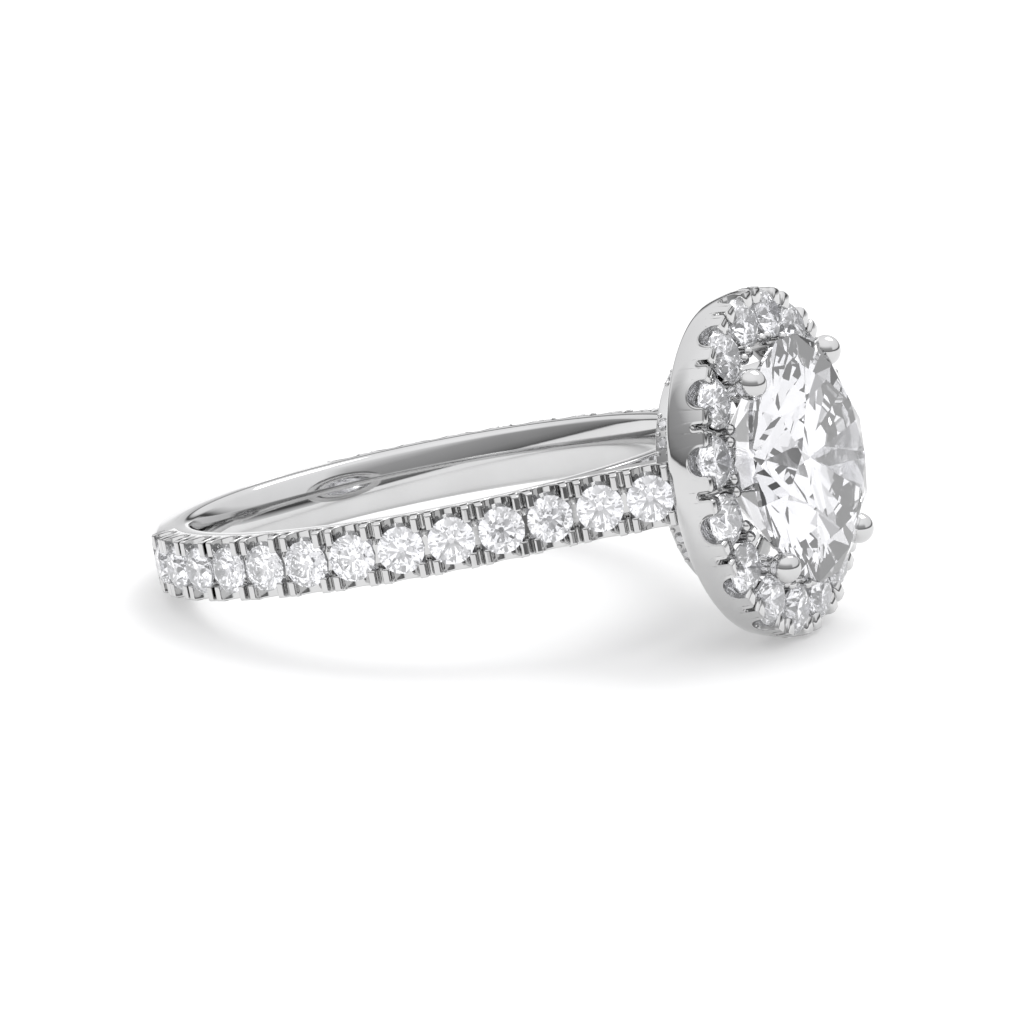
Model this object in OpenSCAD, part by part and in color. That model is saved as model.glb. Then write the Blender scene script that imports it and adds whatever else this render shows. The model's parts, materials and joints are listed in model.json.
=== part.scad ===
// Halo ring with a pave band, lying on its side as it rests by itself. Millimetres.
// The ring is drawn on its own axes, with x from the finger to the head and z along the
// finger, and the finished ring is then tipped by rest_tilt, so that the band's back edge
// and the halo's rim stand on one level surface. The origin is the finger hole's centre.

/* [Band] */
// Diameter of the finger hole
finger_d = 16.9; // [15:0.1:20]
// Width of the band along the finger
band_w = 2.08; // [1.9:0.02:2.5]
// Thickness of the band where it carries stones
band_t = 1.55; // [1.4:0.05:1.9]
// Thickness of the plain bridge that passes under the head
bridge_t = 0.9; // [0.75:0.05:1.1]
// Radius of the rounded inner edges
comfort_r = 0.68; // [0.4:0.02:0.68]
// Radius of the rounded outer edges of the band's plain back
edge_r = 0.3; // [0.1:0.05:0.4]

/* [Shoulders] */
// Angle from the head at which a shoulder's line leaves the ring's circle
split_angle = 38.5; // [35:0.5:43]
// Distance from the edge of the halo's hole out to a shoulder's line at the halo's back
shoulder_out = 0.15; // [0.05:0.05:0.4]
// Radius of the bend between the ring's circle and a shoulder
shoulder_bend = 6; // [4:0.5:9]
// Thickness of a shoulder
shoulder_t = 1.6; // [1.3:0.05:1.8]

/* [Band stones] */
// Diameter of a band stone
band_stone_d = 1.55; // [1.3:0.05:1.6]
// Gap between two band stones
band_stone_gap = 0.11; // [0.1:0.01:0.2]
// Number of stones on each side of the band
side_stones = 13; // [6:1:15]
// Distance along the shoulder from the halo's back to the first stone's centre
first_stone = 1.36; // [1.2:0.02:1.8]
// Depth of a band stone's girdle below the band's outer surface
band_girdle_drop = 0.2; // [0.15:0.01:0.3]
// Width of the round cut through the band's sides at each stone
band_cut_w = 1.1; // [0.9:0.05:1.15]
// Depth of that cut below the band's outer surface
band_cut_depth = 0.7; // [0.55:0.05:0.8]
// Width of the split between two prongs
band_split_w = 0.16; // [0.1:0.02:0.2]
// Depth of the split between two prongs
band_split_depth = 0.5; // [0.3:0.05:0.6]

/* [Halo] */
// Height of the halo's back above the finger hole's wall
halo_lift = 3; // [2.7:0.1:4]
// Height of the halo from its back to its prong tips
halo_h = 1.5; // [1.3:0.05:1.8]
// Distance from the centre stone's edge in to the edge of the halo's hole
halo_hole_inset = 0.15; // [0.1:0.01:0.2]
// Distance from the edge of the halo's hole out to the circle of its stones
halo_ledge_w = 0.94; // [0.92:0.01:1]
// Distance from that circle out to the halo's edge at its back
halo_rim_w = 0.68; // [0.66:0.01:0.75]
// How far the halo's wall swells beyond its edge at the back
halo_swell = 0.24; // [0.2:0.01:0.4]
// Distance from the halo's back to its widest place
halo_bulge_at = 1.05; // [0.8:0.05:1.2]
// Number of stones in the halo
halo_stones = 16; // [12:4:16]
// Diameter of a halo stone
halo_stone_d = 1.6; // [1.3:0.05:1.65]
// Distance from the halo's back to its stones' girdles
halo_girdle_at = 1.25; // [1.2:0.05:1.4]
// Width of the round cut through the halo's wall at each stone
halo_cut_w = 1.15; // [0.9:0.05:1.25]
// Depth of that cut below the prong tips
halo_cut_depth = 0.85; // [0.6:0.05:0.95]
// Width of the split between two halo prongs
halo_split_w = 0.14; // [0.1:0.02:0.2]
// Depth of the split between two halo prongs
halo_split_depth = 0.5; // [0.3:0.05:0.6]
// Thickness of the halo's outer wall at its top
halo_wall_t = 0.6; // [0.5:0.05:0.65]
// Diameter of the small beads on the halo's inner edge
halo_bead_d = 0.34; // [0.2:0.02:0.34]

/* [Centre stone and claws] */
// Diameter of the centre stone, which the claws, the halo and the collar follow
centre_d = 8.2; // [7.8:0.05:8.8]
// Height of the centre stone's girdle above the halo's back
centre_girdle_at = 2.27; // [2.1:0.05:2.8]
// Diameter of the centre stone's table
centre_table_d = 4.9; // [4.2:0.1:5.4]
// Height of the centre stone's crown
centre_crown_h = 0.95; // [0.8:0.05:1.4]
// Depth of the centre stone's pavilion
centre_pavilion_h = 3.53; // [3.2:0.05:3.6]
// Thickness of the centre stone's girdle
centre_girdle_t = 0.15; // [0.1:0.01:0.25]
// Diameter of a claw
claw_d = 0.7; // [0.6:0.02:0.9]
// Diameter of a claw's ball tip
claw_tip_d = 0.92; // [0.8:0.02:1.1]
// Distance from the centre stone's edge out to the middle of a claw's ball tip
claw_tip_out = 0.19; // [0.1:0.01:0.25]
// Distance from the edge of the halo's hole in to a claw's foot, in the middle of the collar's wall
claw_foot_in = 0.4; // [0.38:0.01:0.45]

/* [Gallery collar] */
// Wall of the collar
collar_wall = 0.8; // [0.6:0.05:1]
// Height of the collar along the head's axis
collar_h = 0.6; // [0.5:0.05:0.8]
// Gap between the collar and the halo's back
collar_gap = 0.65; // [0.5:0.05:0.9]
// Diameter of a collar stone
collar_stone_d = 0.45; // [0.35:0.01:0.48]
// Distance between two collar stones along the collar's outer face
collar_pitch = 0.655; // [0.62:0.005:0.675]
// Clear metal between a collar stone and a claw or shoulder
collar_stone_room = 0.1; // [0.08:0.01:0.15]

/* [Fit] */
// Clearance between a stone and the metal round it
seat_gap = 0.02; // [0.01:0.01:0.04]

/* [Hidden] */
$fn = 64;
sides = [-1, 1];
side_names = ["near", "far"];

// Band and bridge
hole_r = finger_d / 2;
band_r = hole_r + band_t;
join_r = hole_r + (comfort_r + bridge_t) / 2;

// Each soldered part is a hair narrower than the one that it stands on
solder_step = 0.01;
outside_w = band_w - 2 * solder_step;
shoulder_w = outside_w - 2 * solder_step;

// Angle by which a shoulder laps into the ring
lap_angle = 2;

// The head's circles, from the centre stone outwards and down to the collar
claw_tip_at = centre_d / 2 + claw_tip_out;
halo_hole_d = centre_d - 2 * halo_hole_inset;
halo_row_d = halo_hole_d + 2 * halo_ledge_w;
halo_back_d = halo_row_d + 2 * halo_rim_w;
halo_d = halo_back_d + 2 * halo_swell;
shoulder_at_halo = halo_hole_d / 2 + shoulder_out;
claw_foot_at = halo_hole_d / 2 - claw_foot_in;
collar_d = 2 * claw_foot_at + collar_wall;

// Stations along the head's axis, from the finger hole's centre
halo_back = hole_r + halo_lift;
halo_top = halo_back + halo_h;
halo_girdle = halo_back + halo_girdle_at;
halo_bed = halo_girdle - seat_gap / 2;
centre_girdle = halo_back + centre_girdle_at;
collar_top = halo_back - collar_gap;
collar_mid = collar_top - collar_h / 2;

// The halo's outer wall is an arc from its back to its widest place
halo_arc_r = (pow(halo_bulge_at, 2) + pow(halo_swell, 2)) / (2 * halo_swell);
halo_arc_x = halo_back + halo_bulge_at;
halo_arc_at = halo_d / 2 - halo_arc_r;
halo_row_r = halo_row_d / 2;
halo_step = 360 / halo_stones;

// Tilt at which the band's back edge and the halo's wall touch one level surface
rest_x = halo_arc_x + band_r - edge_r;
rest_z = halo_arc_at - (outside_w / 2 - edge_r);
rest_drop = halo_arc_r - edge_r;
rest_tilt = atan2(rest_z, rest_x) + asin(rest_drop / norm([rest_x, rest_z]));

// Row of band stones: a straight shoulder, a bend, and the ring's circle, at girdle level
row_r = band_r - band_girdle_drop;
row_pitch = band_stone_d + band_stone_gap;
row_leave = row_r * [cos(split_angle), sin(split_angle)];
row_foot = [halo_back, shoulder_at_halo];
row_run = (row_foot - row_leave) / norm(row_foot - row_leave);
row_normal = [-row_run[1], row_run[0]];
row_normal_angle = atan2(row_normal[1], row_normal[0]);
row_turn = acos((row_leave * row_normal + shoulder_bend) / (row_r + shoulder_bend));
row_tangent_angle = row_normal_angle - row_turn;
bend_centre = (row_r + shoulder_bend) * [cos(row_tangent_angle), sin(row_tangent_angle)];
bend_start = bend_centre - shoulder_bend * row_normal;
straight_len = norm(row_foot - bend_start);
bend_len = shoulder_bend * row_turn * PI / 180;

// Place on the row at a distance s from the halo's back: x, y and the outward angle
function row_at(s) =
    s < straight_len ? straight_at(s) :
    s < straight_len + bend_len ? bend_at(s - straight_len) :
    circle_at(s - straight_len - bend_len);
function straight_at(s) = [row_foot[0] - s * row_run[0], row_foot[1] - s * row_run[1], row_normal_angle];
function bend_at(s) =
    let (a = row_normal_angle - s / shoulder_bend * 180 / PI)
    [bend_centre[0] - shoulder_bend * cos(a), bend_centre[1] - shoulder_bend * sin(a), a];
function circle_at(s) =
    let (a = row_tangent_angle + s / row_r * 180 / PI)
    [row_r * cos(a), row_r * sin(a), a];
function stone_station(k) = first_stone + (k - 1) * row_pitch;

// Angle from the head at which the set part of the band ends
set_end_angle = row_at(stone_station(side_stones) + row_pitch / 2)[2];

// Angle round the head of halo stone k, from the finger's direction
function halo_angle(k) = (k - 0.5) * halo_step;

// Claws: their number, the angle between two and the first one's angle round the head
claws = 4;
claw_step = 360 / claws;
claw_first = claw_step / 2;

// Angles round the head at which the collar has a stone: clear of the claws and the shoulders
collar_step = 2 * collar_pitch / collar_d * 180 / PI;
stone_room = collar_stone_d / 2 + collar_stone_room;
claw_room = asin((claw_d / 2 + stone_room) / (collar_d / 2));
shoulder_room = asin((shoulder_w / 2 + stone_room) / (collar_d / 2));
collar_last = floor((90 - shoulder_room) / collar_step);
collar_steps = [for (n = [0:collar_last]) if (abs(n * collar_step - claw_first) > claw_room) n];
collar_angles = [for (base = [0, 180]) for (n = collar_steps) for (s = n == 0 ? [1] : sides)
    base + s * n * collar_step];

// Times that a brilliant's facets repeat round it, half the angle of a kite-shaped facet,
// and the keel corners' share of the stone's radius
fold = 8;
kite_half = 180 / fold;
keel_share = 0.3;

// Sizes of a small stone, as shares of its own diameter
crown_share = 0.15;
pavilion_share = 0.42;
girdle_share = 0.03;
table_share = 0.56;

// A bead's place, as shares of its diameter: half the way between the two of a pair, the way
// in from the halo's hole, and the rise of its middle over the bed
bead_spread_share = 0.65;
bead_inset_share = 0.45;
bead_rise_share = 0.4;

// Height for which a seat is open above its stone's girdle
seat_open = 1;

metal_color = [0.86, 0.86, 0.87];
stone_color = [0.93, 0.95, 0.98, 0.7];

// Points of one ring of a stone: n points at radius r and height z
function stone_ring(n, r, z, turn = 0) =
    [for (k = [0:n - 1]) let (a = 360 * k / n + turn) [r * cos(a), r * sin(a), z]];

// Corner of a stone between its star and kite facets, as radius and height over the girdle's top
function star_corner(r, table_r, crown_h) =
    let (corner_r = (table_r + r) / 2)
    [corner_r, (r - corner_r * cos(kite_half)) * crown_h / (r - table_r)];

// Corner of a stone between its pavilion mains, as radius and depth under the girdle's bottom
function keel_corner(r, pavilion_h) =
    let (corner_r = r * keel_share)
    [corner_r, (r - corner_r * cos(kite_half)) * pavilion_h / r];

// Round brilliant with a table, 32 crown facets and 24 pavilion facets, its table upwards and
// the middle of its girdle at the origin. The kite-shaped facets are flat by construction.
module brilliant(d, table_d, crown_h, pavilion_h, girdle_t) {
    r = d / 2;
    half_t = girdle_t / 2;
    corner = star_corner(r, table_d / 2, crown_h);
    root = keel_corner(r, pavilion_h);
    points = concat(
        stone_ring(fold, table_d / 2, half_t + crown_h),
        stone_ring(fold, corner[0], half_t + corner[1], kite_half),
        stone_ring(2 * fold, r, half_t),
        stone_ring(2 * fold, r, -half_t),
        stone_ring(fold, root[0], -half_t - root[1], kite_half),
        [[0, 0, -half_t - pavilion_h]]);
    last = fold - 1;
    round = 2 * fold;
    star = fold;
    upper = 2 * fold;
    lower = 4 * fold;
    keel = 6 * fold;
    culet = 7 * fold;
    faces = concat(
        [[for (k = [last:-1:0]) k]],
        [for (k = [0:last]) [k, (k + 1) % fold, star + k]],
        [for (k = [0:last]) [k, star + k, upper + 2 * k, star + (k + last) % fold]],
        [for (k = [0:last]) [star + k, upper + 2 * k + 1, upper + 2 * k]],
        [for (k = [0:last]) [star + k, upper + (2 * k + 2) % round, upper + 2 * k + 1]],
        [for (k = [0:round - 1]) [upper + k, upper + (k + 1) % round, lower + (k + 1) % round, lower + k]],
        [for (k = [0:last]) [lower + 2 * k, lower + 2 * k + 1, keel + k]],
        [for (k = [0:last]) [lower + 2 * k + 1, lower + (2 * k + 2) % round, keel + k]],
        [for (k = [0:last]) [lower + 2 * k, keel + k, culet, keel + (k + last) % fold]]);
    color(stone_color) polyhedron(points, faces, convexity = 4);
}

// Small brilliant with the usual proportions
module small_brilliant(d) {
    brilliant(d, d * table_share, d * crown_share, d * pavilion_share, d * girdle_share);
}

// Seat of a stone: its outline with clearance, open to above for a height of open_h
module small_seat(d, open_h) {
    r = d / 2 + seat_gap;
    low = d * girdle_share / 2 + seat_gap;
    rotate_extrude() polygon([
        [0, -low - d * pavilion_share],
        [r, -low],
        [r, open_h],
        [0, open_h]]);
}

// Moves the drawing axes: z from the finger to the head, x against the finger's direction
module on_head(x = 0) {
    translate([x, 0, 0]) rotate([0, 90, 0]) children();
}

// Places children on the row at distance s: z outwards, x along the band, at girdle level
module on_row(side, s) {
    place = row_at(s);
    mirror([0, side < 0 ? 1 : 0, 0])
        translate([place[0], place[1], 0])
            rotate([0, 0, place[2]])
                rotate([0, 90, 0])
                    rotate([0, 0, 90])
                        children();
}

// Tips the finished ring on to its side
module at_rest() {
    rotate([0, -rest_tilt, 0]) children();
}

// Round corner to cut from a profile: a square with a disc of radius r left in its inner corner
module corner_cut(at, toward, r) {
    over = 0.2;
    translate(at) mirror([toward[0] < 0 ? 1 : 0, 0]) mirror([0, toward[1] < 0 ? 1 : 0]) difference() {
        translate([-over, -over]) square(r + over);
        translate([r, r]) circle(r);
    }
}

// Profile of the bridge and the band's inside, with the bore's straight land in its middle
module inner_profile() {
    difference() {
        translate([hole_r, -band_w / 2]) square([bridge_t, band_w]);
        corner_cut([hole_r, -band_w / 2], [1, 1], comfort_r);
        corner_cut([hole_r, band_w / 2], [1, -1], comfort_r);
    }
}

// Profile of the band's outside where it carries stones
module set_profile() {
    translate([join_r, -outside_w / 2]) square([band_r - join_r, outside_w]);
}

// Profile of the band's plain back, with rounded outer edges
module plain_profile() {
    difference() {
        set_profile();
        corner_cut([band_r, -outside_w / 2], [-1, 1], edge_r);
        corner_cut([band_r, outside_w / 2], [-1, -1], edge_r);
    }
}

module inner_ring() {
    rotate_extrude() inner_profile();
}

// Outside of the band: square where it carries stones, and rounded at its plain back
module outer_ring() {
    for (start = [row_tangent_angle, 360 - set_end_angle])
        rotate([0, 0, start]) rotate_extrude(angle = set_end_angle - row_tangent_angle) set_profile();
    rotate([0, 0, set_end_angle]) rotate_extrude(angle = 360 - 2 * set_end_angle) plain_profile();
}

// One shoulder: straight from the ring to the halo, bent on its outside
module shoulder(side) {
    into_halo = 0.3;
    outer = band_girdle_drop;
    inner = band_girdle_drop - shoulder_t;
    tip = row_foot + into_halo * row_run;
    tangent = [cos(row_tangent_angle), sin(row_tangent_angle)];
    lap = [cos(row_tangent_angle + lap_angle), sin(row_tangent_angle + lap_angle)];
    root = bend_start - shoulder_bend * row_run;
    mirror([0, side < 0 ? 1 : 0, 0]) linear_extrude(shoulder_w, center = true) difference() {
        polygon([
            hole_r * lap,
            (join_r + band_r) / 2 * lap,
            band_r * tangent,
            bend_start + outer * row_normal,
            tip + outer * row_normal,
            tip + inner * row_normal,
            root + inner * row_normal]);
        translate(bend_centre) circle(shoulder_bend - band_girdle_drop);
        circle(join_r);
    }
}

// Body of the halo: a bed for the stones inside a swelling wall
module halo_body() {
    difference() {
        rotate_extrude() intersection() {
            translate([halo_hole_d / 2, halo_back]) square([halo_d / 2, halo_h]);
            union() {
                translate([0, halo_back - halo_h]) square([halo_arc_at, 3 * halo_h]);
                translate([halo_arc_at, halo_arc_x]) circle(halo_arc_r, $fn = 128);
            }
        }
        translate([0, 0, halo_bed]) cylinder(h = halo_h, r = halo_d / 2 - halo_wall_t);
    }
}

// Pair of beads on the halo's inner edge, each a ball that is partly sunk in the bed
module bead_pair() {
    spread = halo_bead_d * bead_spread_share;
    bead_x = halo_hole_d / 2 + halo_bead_d * bead_inset_share;
    for (s = sides) translate([bead_x, s * spread, halo_bed + halo_bead_d * bead_rise_share])
        sphere(d = halo_bead_d, $fn = 24);
}

// One claw: a post from the collar past the halo to a ball over the centre stone's edge
module claw() {
    foot = [claw_foot_at, collar_mid];
    tip = [claw_tip_at, centre_girdle];
    run = norm(tip - foot);
    translate([foot[0], 0, foot[1]]) rotate([0, atan2(tip[0] - foot[0], tip[1] - foot[1]), 0])
        cylinder(h = run, d = claw_d, $fn = 32);
    translate([tip[0], 0, tip[1]]) sphere(d = claw_tip_d, $fn = 48);
}

module collar_body() {
    translate([0, 0, collar_top - collar_h]) difference() {
        cylinder(h = collar_h, d = collar_d);
        translate([0, 0, -collar_h]) cylinder(h = 3 * collar_h, r = collar_d / 2 - collar_wall);
    }
}

// Round cut through both sides of the band, under stone k
module band_cut(side, k) {
    on_row(side, stone_station(k))
        translate([0, 0, band_girdle_drop - band_cut_depth + band_cut_w / 2])
            rotate([90, 0, 0])
                cylinder(h = 2 * band_w, d = band_cut_w, center = true, $fn = 32);
}

// Split behind stone k, which parts the prongs of two neighbours
module band_split(side, k) {
    on_row(side, stone_station(k) + row_pitch / 2)
        translate([-band_split_w / 2, -band_w, band_girdle_drop - band_split_depth])
            cube([band_split_w, 2 * band_w, 2 * band_split_depth]);
}

module halo_cut(k) {
    rotate([0, 0, halo_angle(k)])
        translate([halo_row_r, 0, halo_top - halo_cut_depth + halo_cut_w / 2])
            rotate([0, 90, 0])
                cylinder(h = halo_d, d = halo_cut_w, $fn = 32);
}

module halo_split(k) {
    rotate([0, 0, k * halo_step])
        translate([halo_row_r, -halo_split_w / 2, halo_top - halo_split_depth])
            cube([halo_d, halo_split_w, 2 * halo_split_depth]);
}

module on_collar(a) {
    rotate([0, 0, a]) translate([collar_d / 2, 0, collar_mid]) rotate([0, 90, 0]) children();
}

// Band and shoulders, cut for their stones
module set_band() {
    difference() {
        union() {
            inner_ring();
            outer_ring();
            for (side = sides) shoulder(side);
        }
        for (side = sides) for (k = [1:side_stones]) {
            band_cut(side, k);
            on_row(side, stone_station(k)) small_seat(band_stone_d, seat_open);
            if (k < side_stones) band_split(side, k);
        }
    }
}

// Halo, cut for its stones
module set_halo() {
    difference() {
        halo_body();
        for (k = [1:halo_stones]) {
            halo_cut(k);
            halo_split(k);
            rotate([0, 0, halo_angle(k)]) translate([halo_row_r, 0, halo_girdle])
                small_seat(halo_stone_d, seat_open);
        }
    }
    for (k = [0:halo_stones - 1]) if ((k * halo_step) % claw_step != claw_first)
        rotate([0, 0, k * halo_step]) bead_pair();
}

// Collar, cut for its stones
module set_collar() {
    difference() {
        collar_body();
        for (a = collar_angles) on_collar(a) small_seat(collar_stone_d, seat_open);
    }
}

// Claws, cut where they hold the centre stone
module set_claws() {
    difference() {
        for (c = [0:claws - 1]) rotate([0, 0, claw_first + c * claw_step]) claw();
        translate([0, 0, centre_girdle]) centre_seat();
    }
}

// All the metal, soldered into one piece
module mount() {
    color(metal_color) at_rest() {
        set_band();
        on_head() {
            set_halo();
            set_collar();
            set_claws();
        }
    }
}

// Room for the centre stone: its whole outline with clearance, crown and pavilion
module centre_seat() {
    r = centre_d / 2 + seat_gap;
    half_t = centre_girdle_t / 2 + seat_gap;
    corner = star_corner(centre_d / 2, centre_table_d / 2, centre_crown_h);
    rotate_extrude() polygon([
        [0, -half_t - centre_pavilion_h],
        [r, -half_t],
        [r, half_t],
        [corner[0] + seat_gap, half_t + corner[1]],
        [centre_table_d / 2, half_t + centre_crown_h],
        [0, half_t + centre_crown_h]]);
}

module centre_stone() {
    at_rest() on_head(centre_girdle) rotate([0, 0, kite_half / 2])
        brilliant(centre_d, centre_table_d, centre_crown_h, centre_pavilion_h, centre_girdle_t);
}

module halo_stone(k) {
    at_rest() on_head(halo_girdle) rotate([0, 0, halo_angle(k)]) translate([halo_row_r, 0, 0])
        small_brilliant(halo_stone_d);
}

module band_stone(side, k) {
    at_rest() on_row(side, stone_station(k)) small_brilliant(band_stone_d);
}

module collar_stones() {
    at_rest() on_head() for (a = collar_angles) on_collar(a) small_brilliant(collar_stone_d);
}

mount();
centre_stone();
collar_stones();
for (k = [1:halo_stones])
    halo_stone(k);
for (side = [0, 1]) for (k = [1:side_stones])
    band_stone(sides[side], k);
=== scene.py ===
"""Halo ring, dressed round its packed construction model.

The ring lies on its side. Its metal is built again as smooth polished walls with scalloped edges,
and its stones as faceted brilliants, all in the places that the construction model gives.
"""
import json
import logging
import math
from dataclasses import dataclass
from enum import Enum

import bmesh
import bpy
import numpy as np
from mathutils import Matrix, Vector


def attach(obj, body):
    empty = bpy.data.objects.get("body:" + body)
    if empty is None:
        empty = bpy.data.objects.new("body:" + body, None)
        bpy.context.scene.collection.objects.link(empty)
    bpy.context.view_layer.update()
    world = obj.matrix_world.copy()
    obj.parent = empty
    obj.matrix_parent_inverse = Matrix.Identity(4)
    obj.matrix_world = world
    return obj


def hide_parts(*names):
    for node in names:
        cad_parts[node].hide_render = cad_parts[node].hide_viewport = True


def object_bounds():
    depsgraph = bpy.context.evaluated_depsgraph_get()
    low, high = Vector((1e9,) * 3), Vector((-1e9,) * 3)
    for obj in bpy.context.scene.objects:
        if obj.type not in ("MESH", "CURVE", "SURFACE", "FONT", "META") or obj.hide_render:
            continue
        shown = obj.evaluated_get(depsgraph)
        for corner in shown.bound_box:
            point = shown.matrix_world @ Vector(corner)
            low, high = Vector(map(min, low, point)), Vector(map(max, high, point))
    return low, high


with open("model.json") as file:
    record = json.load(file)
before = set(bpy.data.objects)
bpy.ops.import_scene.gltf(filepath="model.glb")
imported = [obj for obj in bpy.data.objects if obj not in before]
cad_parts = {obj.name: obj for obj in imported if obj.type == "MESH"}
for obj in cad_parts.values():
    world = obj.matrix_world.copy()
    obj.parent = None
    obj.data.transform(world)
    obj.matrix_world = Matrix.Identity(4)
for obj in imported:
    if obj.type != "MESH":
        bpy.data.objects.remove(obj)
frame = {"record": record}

CAD_BOX = [list(map(float, corner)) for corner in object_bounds()]
BODY = "root"
MM = 0.001
LOG = logging.getLogger("halo_ring")

# Points nearer than this become one, in a bent wall and in a turned shape
WELD = 0.0003 * MM
FINE_WELD = 0.00001 * MM
# Room between the two ends of a closed profile
SEAM = 0.0001 * MM
# Edges sharper than this stay sharp, and corners flatter than this aren't rounded
CREASE = math.radians(50)
NEARLY_STRAIGHT = math.radians(89)
# Least length that a direction is divided by
NO_LENGTH = 1e-12
# The part of a noise's range that is spread over a finish's values
NOISE_MIDDLE = (0.3, 0.7)
# Main facets of a brilliant, and its table, crown, pavilion and girdle as shares of its diameter
MAINS = 8
USUAL_CUT = (0.57, 0.15, 0.425, 0.03)
# A bead: its stem's radius as a share of its own, the angle where the ball leaves the stem, and its points
STEM_SHARE = 0.9
STEM_ANGLE = -0.4
BEAD_POINTS = 8
BEAD_STEPS = 20

Points = np.ndarray
Stops = tuple[tuple[float, float], ...]


class Side(Enum):
    """The two halves of the band, named by where they lie from the camera."""

    NEAR = -1
    FAR = 1


class Slot(Enum):
    """The record's material slots."""

    METAL = "white_metal"
    STONE = "stone"


@dataclass(frozen=True)
class RingAxes:
    """The ring's own axes: x from the finger to the head, z along the finger.

    Attributes:
        tilt: Angle by which the ring's axes are tipped from the row's, in radians.
        hole_radius: Radius of the finger hole, in metres.
    """

    tilt: float
    hole_radius: float

    @classmethod
    def from_record(cls, record: dict) -> "RingAxes":
        """Reads the tilt and the hole's radius from the record's finger hole."""
        hole = next(m for m in record["mounts"] if m["name"] == "finger_hole")
        return cls(math.atan2(-hole["axis"][0], hole["axis"][2]), hole["dims"]["r_mm"] * MM)

    @property
    def to_row(self) -> Matrix:
        """Turn from the ring's axes to the row's."""
        return Matrix.Rotation(-self.tilt, 4, "Y")


AXES = RingAxes.from_record(frame["record"])
HEAD_AXIS = Vector((1.0, 0.0, 0.0))
FINGER_AXIS = Vector((0.0, 0.0, 1.0))


def smoothstep(value: Points, low: float, high: float) -> Points:
    """Eases from 0 at low to 1 at high."""
    t = np.clip((value - low) / (high - low), 0.0, 1.0)
    return t * t * (3 - 2 * t)


def rounded_line(corners: list[tuple[float, float]], radii: list[float], steps: int) -> Points:
    """Rounds the inner corners of an open line.

    Args:
        corners: The line's corners, as pairs.
        radii: Radius at each inner corner, so two fewer than the corners.
        steps: Points on each rounding.

    Returns:
        The rounded line's points, one row each.
    """
    points = [np.array(corners[0], float)]
    for i, radius in enumerate(radii, start=1):
        before, at, after = (np.array(corners[i + k], float) for k in (-1, 0, 1))
        back = (before - at) / np.linalg.norm(before - at)
        on = (after - at) / np.linalg.norm(after - at)
        half = math.acos(float(np.clip(back @ on, -1, 1))) / 2
        if radius <= 0 or half > NEARLY_STRAIGHT:
            points.append(at)
            continue
        centre = at + (back + on) / np.linalg.norm(back + on) * radius / math.sin(half)
        start = at + back * radius / math.tan(half) - centre
        end = at + on * radius / math.tan(half) - centre
        turn = math.atan2(start[0] * end[1] - start[1] * end[0], float(start @ end))
        for t in np.linspace(0, 1, steps):
            c, s = math.cos(turn * t), math.sin(turn * t)
            points.append(centre + np.array([c * start[0] - s * start[1], s * start[0] + c * start[1]]))
    points.append(np.array(corners[-1], float))
    return np.array(points)


def line_normals(line: Points, smooth: int) -> Points:
    """Left-hand unit normals of an open line.

    Args:
        line: The line's points.
        smooth: How many times neighbouring normals are averaged.

    Returns:
        One normal for each point.
    """
    run = np.gradient(line, axis=0)
    normals = np.stack([-run[:, 1], run[:, 0]], axis=1)
    for _ in range(smooth):
        padded = np.vstack([normals[:1], normals, normals[-1:]])
        normals = (padded[:-2] + 2 * padded[1:-1] + padded[2:]) / 4
    length = np.linalg.norm(normals, axis=1, keepdims=True)
    return normals / np.maximum(length, NO_LENGTH)


def mesh_from_grid(name: str, grid: Points, closed_rows: bool, closed_columns: bool) -> bpy.types.Mesh:
    """Makes a mesh from a grid of points.

    Args:
        name: Name of the mesh.
        grid: Points, shaped rows by columns by 3.
        closed_rows: Whether the last row joins the first.
        closed_columns: Whether the last column joins the first.

    Returns:
        The mesh.
    """
    rows, columns = grid.shape[:2]
    faces = []
    for r in range(rows if closed_rows else rows - 1):
        for c in range(columns if closed_columns else columns - 1):
            r2, c2 = (r + 1) % rows, (c + 1) % columns
            faces.append((r * columns + c, r * columns + c2, r2 * columns + c2, r2 * columns + c))
    mesh = bpy.data.meshes.new(name)
    mesh.from_pydata([tuple(p) for p in grid.reshape(-1, 3)], [], faces)
    mesh.update()
    return mesh


def clean(mesh: bpy.types.Mesh, weld: float) -> None:
    """Merges doubles, closes holes and points the faces outwards.

    Args:
        mesh: The mesh to clean.
        weld: Distance below which two points become one.
    """
    bm = bmesh.new()
    bm.from_mesh(mesh)
    bmesh.ops.remove_doubles(bm, verts=bm.verts, dist=weld)
    bmesh.ops.dissolve_degenerate(bm, edges=bm.edges, dist=weld / 4)
    rim = [e for e in bm.edges if e.is_boundary]
    if rim:
        bmesh.ops.holes_fill(bm, edges=rim, sides=0)
    bmesh.ops.recalc_face_normals(bm, faces=bm.faces)
    bm.to_mesh(mesh)
    bm.free()
    mesh.update()


def shade(mesh: bpy.types.Mesh, smooth: bool) -> None:
    """Shades a mesh flat, or smooth with sharp edges where it creases.

    Args:
        mesh: The mesh to shade.
        smooth: Whether its faces blend.
    """
    if smooth:
        mesh.shade_smooth()
        mesh.set_sharp_from_angle(angle=CREASE)
    else:
        mesh.shade_flat()


def new_object(name: str, data: bpy.types.ID) -> bpy.types.Object:
    """Links a mesh, curve, light or camera to the scene as an object at the origin.

    Args:
        name: The object's name.
        data: The mesh, curve, light or camera.

    Returns:
        The object.
    """
    piece = bpy.data.objects.new(name, data)
    bpy.context.scene.collection.objects.link(piece)
    return piece


class Finish:
    """Base of the finishes: each makes one procedural material."""

    def material(self) -> bpy.types.Material:
        """Makes the material."""
        raise NotImplementedError


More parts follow.
